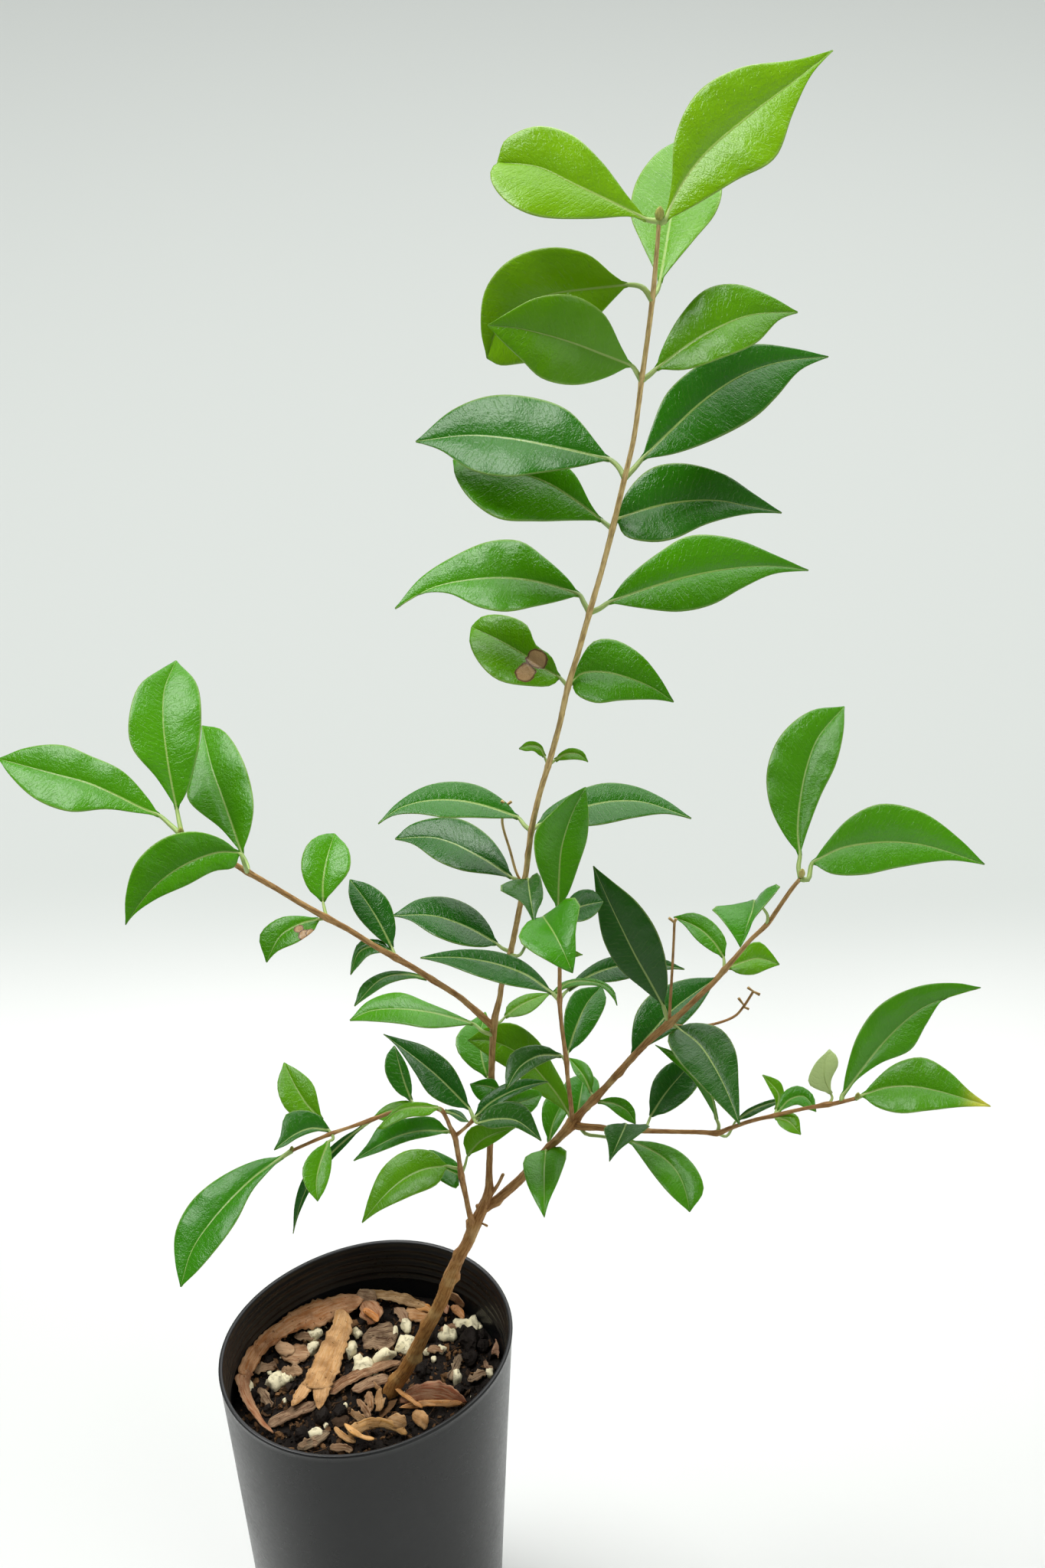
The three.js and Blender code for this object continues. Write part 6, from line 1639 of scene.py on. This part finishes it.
class BuildMix(Operator):
    """Make the bed of potting mix with its crumbs, fibres and perlite"""

    bl_idname = "myrtle.mix"
    bl_label = "Potting Mix"
    bl_options = {"REGISTER", "UNDO"}

    def execute(self, context):
        pot, mix = context.scene.myrtle_pot, context.scene.myrtle_mix
        inset = millimetres(pot.wall) + 0.3
        bed = Shape()
        heights = np.linspace(millimetres(pot.floor) + 0.3, millimetres(mix.level) - 1.2, 12)
        side = pressed_rings(pot, [(inset, height, 1.0) for height in heights], BED_SIDES)
        top = bed_rings(pot, mix, np.linspace(1, 0.02, 46), BED_SIDES, inset)
        bed.stack(np.concatenate([side, top]))
        soil = mix_material("Damp Mix", mix, 420.0, 0.3)
        settle_piece(bed.make("mix_bed", [soil]), "mix", "potting_mix")

        ground = self.open_ground(pot, mix, inset)
        scatter(
            "mix_crumbs",
            ground,
            chips(9, 6, 3),
            mix_material("Bark Crumbs", mix, 700.0, 0.55),
            Density=mix.crumb_density,
            Smallest=mix.crumb_small,
            Largest=mix.crumb_large,
            Seed=mix.seed,
        )
        scatter(
            "bark_flakes",
            ground,
            chips(7, 7, 60, 0.22),
            mix_material("Bark Flakes", mix, 380.0, 0.85),
            Density=mix.flake_density,
            Smallest=0.0014,
            Largest=0.0052,
            Tilt=0.7,
            Seed=mix.seed + 3,
            Sink=-0.0006,
        )
        scatter(
            "mix_fibres",
            ground,
            bent_threads(4),
            mix_material("Coir Fibres", mix, 300.0, 0.9),
            Density=mix.fibre_density,
            Smallest=0.002,
            Largest=0.007,
            Tilt=0.5,
            Seed=mix.seed + 1,
            Sink=-0.0003,
        )
        perlite = perlite_material(mix)
        scatter(
            "perlite_specks",
            ground,
            chips(4, 6, 30),
            perlite,
            Density=mix.speck_density,
            Smallest=0.0005,
            Largest=0.0013,
            Seed=mix.seed + 2,
            Sink=-0.0004,
        )
        bpy.data.objects.remove(ground, do_unlink=True)

        grains = self.lumps(GRAINS, pot, 2, 0.42)
        settle_piece(grains.make("perlite_grains", [perlite]), "mix")
        lumps = self.lumps(LUMPS, pot, 70, 0.32)
        dark = mix_material("Bark Lumps", mix, 300.0, 0.1)
        settle_piece(lumps.make("bark_lumps", [dark], False), "mix")
        return {"FINISHED"}

    def open_ground(self, pot, mix, inset):
        """An open sheet over the mix's top for things to be scattered on."""
        rings = bed_rings(pot, mix, np.linspace(0.95, 0.02, 30), GROUND_SIDES, inset)
        faces = ring_quads(*rings.shape[:2])
        mesh = bpy.data.meshes.new("open_ground")
        mesh.from_pydata((rings.reshape(-1, 3) / 1000).tolist(), [], faces.tolist())
        return show("open_ground", mesh)

    def lumps(self, table, pot, seed, roughness):
        """Knobbly lumps at the spots of a table, partly sunk in the mix."""
        shape = Shape()
        for k, (px, py, width, height) in enumerate(read_points(table)):
            centre = on_level(px, py, LUMP_SEEN)
            scale = np.linalg.norm(centre - EYE) / FOCAL
            wide, deep = width / 2 * scale, height / 1.25 * scale
            tall = (wide + deep) * 0.42
            centre[2] = LUMP_FOOT + 0.35 * tall
            centre = inside_pot(centre[None], pot, max(wide, deep) * 0.9 + 0.3)[0]
            shape.lump(centre, (wide, min(deep, 1.5 * wide), tall), seed + k, roughness, 12, 8)
        return shape


# Pixels from the end of a shoot to its bud, at most.
BUD_REACH = 9


class BuildStems(Operator):
    """Make the bark of the trunk and the branches"""

    bl_idname = "myrtle.stems"
    bl_label = "Stems"
    bl_options = {"REGISTER", "UNDO"}

    def execute(self, context):
        plant = context.scene.myrtle_plant
        bark = bark_material(plant)
        buds = read_points(BUDS)
        for order, (name, part) in enumerate(read_plant().items()):
            shape = Shape()
            feet = []
            for leaf in part["leaves"]:
                spot, reach = nearest_on_stem(part["stems"], *leaf["stalk"][0][:2])
                feet.append(point_at(*spot, np.array(reach)))
            for k, stem in enumerate(part["stems"]):
                aged = 0.0 if name == "main_stem" else 0.45
                add_stem(shape, stem, feet, knobs_near(stem) if k == 0 else [], plant, order + 10 * k, aged)
            for k, stub in enumerate(part["stubs"]):
                add_stem(shape, stub, [], [], plant, 50 + k)
            for px, py, depth, length in buds:
                ends = [stem[-1] for stem in part["stems"]] + [stem[0] for stem in part["stems"]]
                if min(math.hypot(px - end[0], py - end[1]) for end in ends) < BUD_REACH:
                    add_bud(shape, px, py, depth, length, plant)
            settle_piece(shape.make(f"{name}_bark", [bark]), "foliage", name)
        return {"FINISHED"}


class BuildLeaves(Operator):
    """Make the leaves of every stem"""

    bl_idname = "myrtle.leaves"
    bl_label = "Leaves"
    bl_options = {"REGISTER", "UNDO"}

    def execute(self, context):
        plant = context.scene.myrtle_plant
        stalk = stalk_material(plant)
        spots = [(row[0], *read_points(row[1])[0]) for row in read_rows(SPOTS)]
        for name, part in read_plant().items():
            shape = Shape()
            dead = []
            for index, leaf in enumerate(part["leaves"]):
                points = add_leaf(shape, leaf, part["stems"], index, plant)
                for leaf_name, px, py, radius in spots:
                    if leaf_name == leaf["name"]:
                        flat = points.reshape(-1, 3)
                        seen = seen_at(flat)
                        near = flat[np.argmin(np.hypot(seen[:, 0] - px, seen[:, 1] - py))]
                        size = radius * np.linalg.norm(near - EYE) / FOCAL
                        dead.append((tuple(near / 1000), size / 1000))
            upper = leaf_material(f"Leaf Face {name}", plant, True, dead)
            lower = leaf_material(f"Leaf Back {name}", plant, False, dead)
            settle_piece(shape.make(f"{name}_leaves", [upper, lower, stalk]), "foliage", name)
        return {"FINISHED"}


class BuildLitter(Operator):
    """Make the dry leaves, bark strips and twigs on the mix"""

    bl_idname = "myrtle.litter"
    bl_label = "Litter"
    bl_options = {"REGISTER", "UNDO"}

    def execute(self, context):
        pot, litter = context.scene.myrtle_pot, context.scene.myrtle_litter
        finishes = {
            "dry_leaf": litter_material("Dry Leaf", 1.6, 0.6),
            "dry_bark": litter_material("Dry Bark", 3.0, 0.75),
        }
        slots = {row["node"]: row["material_slot"] for row in frame["record"]["subparts"]}
        pieces = {}
        for name, *sheet in read_rows(LITTER):
            pieces.setdefault(name, []).append(sheet)
        for order, (name, sheets) in enumerate(pieces.items()):
            seeds = [order + 20 * k for k in range(len(sheets))]
            feet = [
                litter_sheet(edge, other, pot, litter, 0.0, seed)[0][..., 2].min()
                for seed, (_, edge, other) in zip(seeds, sheets)
            ]
            drop = min(feet) - 0.3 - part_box(name)[0][2] * 1000
            shape = Shape()
            for seed, (colour, edge, other) in zip(seeds, sheets):
                add_litter(shape, edge, other, pot, litter, drop, colour_of(colour), seed)
            piece = shape.make(name + "_dry", [finishes[slots[name]]])
            settle_piece(piece, slots[name], name)
        husks = Shape()
        for seed, (colour, edge, other) in enumerate(read_rows(HUSKS)):
            add_litter(husks, edge, other, pot, litter, 1.0, colour_of(colour), seed + 90, True)
        settle_piece(husks.make("loose_husks", [finishes["dry_bark"]]), "dry_bark")
        return {"FINISHED"}


# The floor's half width and height in metres, and the height of the camera's film in mm.
FLOOR_REACH = 14.0
FLOOR_HEIGHT = -0.0005
SENSOR_HEIGHT = 36.0

# Each lamp's place, the point it is turned to and its width, in metres.
LAMPS = {
    "key": ((-0.45, 0.2, 1.6), (0.0, 0.02, 0.2), 0.85),
    "fill": ((0.75, -0.75, 0.95), (0.0, 0.0, 0.2), 0.9),
    "back": ((0.3, 0.95, 1.25), (0.0, 0.0, 0.2), 1.4),
}


class BuildStage(Operator):
    """Make the floor, the lights and the camera"""

    bl_idname = "myrtle.stage"
    bl_label = "Stage"
    bl_options = {"REGISTER", "UNDO"}

    def execute(self, context):
        stage = context.scene.myrtle_stage
        scene = context.scene
        floor = self.floor(stage)
        scene.world = self.surround(stage)
        for name, (place, aim, size) in LAMPS.items():
            self.light(name, place, aim, size, getattr(stage, f"{name}_power"))
        camera = bpy.data.cameras.new("Camera")
        camera.sensor_fit = "VERTICAL"
        camera.sensor_height = SENSOR_HEIGHT
        camera.lens = FOCAL / PICTURE_HEIGHT * SENSOR_HEIGHT
        camera.clip_start = 0.01
        camera.clip_end = 50.0
        eye = bpy.data.objects.new("Camera", camera)
        scene.collection.objects.link(eye)
        eye.location = (EYE / 1000).tolist()
        eye.rotation_euler = (math.pi / 2 - PITCH, 0.0, 0.0)
        scene.camera = eye
        scene.view_settings.view_transform = "Standard"
        return {"FINISHED"}

    def surround(self, stage):
        """Pale light from behind and beside, dimmer from above and dark from the near side."""
        world = bpy.data.worlds.new("Soft Surround")
        world.use_nodes = True
        wires = Wires(world.node_tree)
        apart = wires.apart(wires.add("ShaderNodeTexCoord").outputs["Generated"])
        behind = wires.ramp(apart["Y"], -0.35, 0.6)
        right = wires.ramp(apart["X"], 0.6, 0.9)
        left = wires.ramp(apart["X"], -0.6, -0.9, 0.0, 0.45)
        around = wires.most(behind, wires.most(left, right))
        low = wires.times(around, wires.ramp(apart["Z"], 0.6, 0.1))
        bright = wires.most(low, wires.ramp(apart["Z"], 0.5, 0.8, 0.0, 0.22))
        shine = world.node_tree.nodes["Background"].inputs
        wires.feed(shine["Color"], stage.far_colour[:])
        wires.feed(shine["Strength"], wires.ramp(bright, 0.0, 1.0, 0.2, stage.surround))
        return world

    def floor(self, stage):
        """The floor under the pot, as wide as the view."""
        mesh = bpy.data.meshes.new("cloth_floor")
        signs = ((-1, -1), (1, -1), (1, 1), (-1, 1))
        corners = [(x * FLOOR_REACH, y * FLOOR_REACH, FLOOR_HEIGHT) for x, y in signs]
        mesh.from_pydata(corners, [], [(0, 1, 2, 3)])
        mesh.materials.append(floor_material(stage))
        return show("cloth_floor", mesh)

    def light(self, name, place, aim, size, power):
        """A round lamp at a place, turned to a point."""
        lamp = bpy.data.lights.new(name, "AREA")
        lamp.shape = "DISK"
        lamp.size = size
        lamp.energy = power
        thing = bpy.data.objects.new(name, lamp)
        bpy.context.scene.collection.objects.link(thing)
        thing.location = place
        thing.rotation_euler = (Vector(aim) - Vector(place)).to_track_quat("-Z", "Y").to_euler()


class MyrtlePanel(Panel):
    """Sizes and colours of the potted myrtle"""

    bl_idname = "VIEW3D_PT_potted_myrtle"
    bl_label = "Potted Myrtle"
    bl_space_type = "VIEW_3D"
    bl_region_type = "UI"
    bl_category = "Myrtle"

    def draw(self, context):
        scene = context.scene
        for title, settings, build in (
            ("Pot", scene.myrtle_pot, BuildPot),
            ("Potting mix", scene.myrtle_mix, BuildMix),
            ("Plant", scene.myrtle_plant, BuildLeaves),
            ("Litter", scene.myrtle_litter, BuildLitter),
            ("Stage", scene.myrtle_stage, BuildStage),
        ):
            box = self.layout.box()
            box.label(text=title)
            for name in settings.__annotations__:
                box.prop(settings, name)
            box.operator(build.bl_idname)
        for build in (BuildMaterials, BuildStems):
            self.layout.operator(build.bl_idname)


SETTINGS = {
    "myrtle_pot": PotSettings,
    "myrtle_mix": MixSettings,
    "myrtle_plant": PlantSettings,
    "myrtle_litter": LitterSettings,
    "myrtle_stage": StageSettings,
}
OPERATORS = (BuildMaterials, BuildPot, BuildMix, BuildStems, BuildLeaves, BuildLitter, BuildStage)


def register():
    for kind in (*SETTINGS.values(), *OPERATORS, MyrtlePanel):
        bpy.utils.register_class(kind)
    for name, kind in SETTINGS.items():
        setattr(bpy.types.Scene, name, PointerProperty(type=kind))


def unregister():
    for name in SETTINGS:
        delattr(bpy.types.Scene, name)
    for kind in (MyrtlePanel, *reversed(OPERATORS), *SETTINGS.values()):
        bpy.utils.unregister_class(kind)


def main():
    register()
    bpy.ops.myrtle.finishes()
    bpy.ops.myrtle.pot()
    bpy.ops.myrtle.mix()
    bpy.ops.myrtle.stems()
    bpy.ops.myrtle.leaves()
    bpy.ops.myrtle.litter()
    bpy.ops.myrtle.stage()


if __name__ == "__main__":
    main()
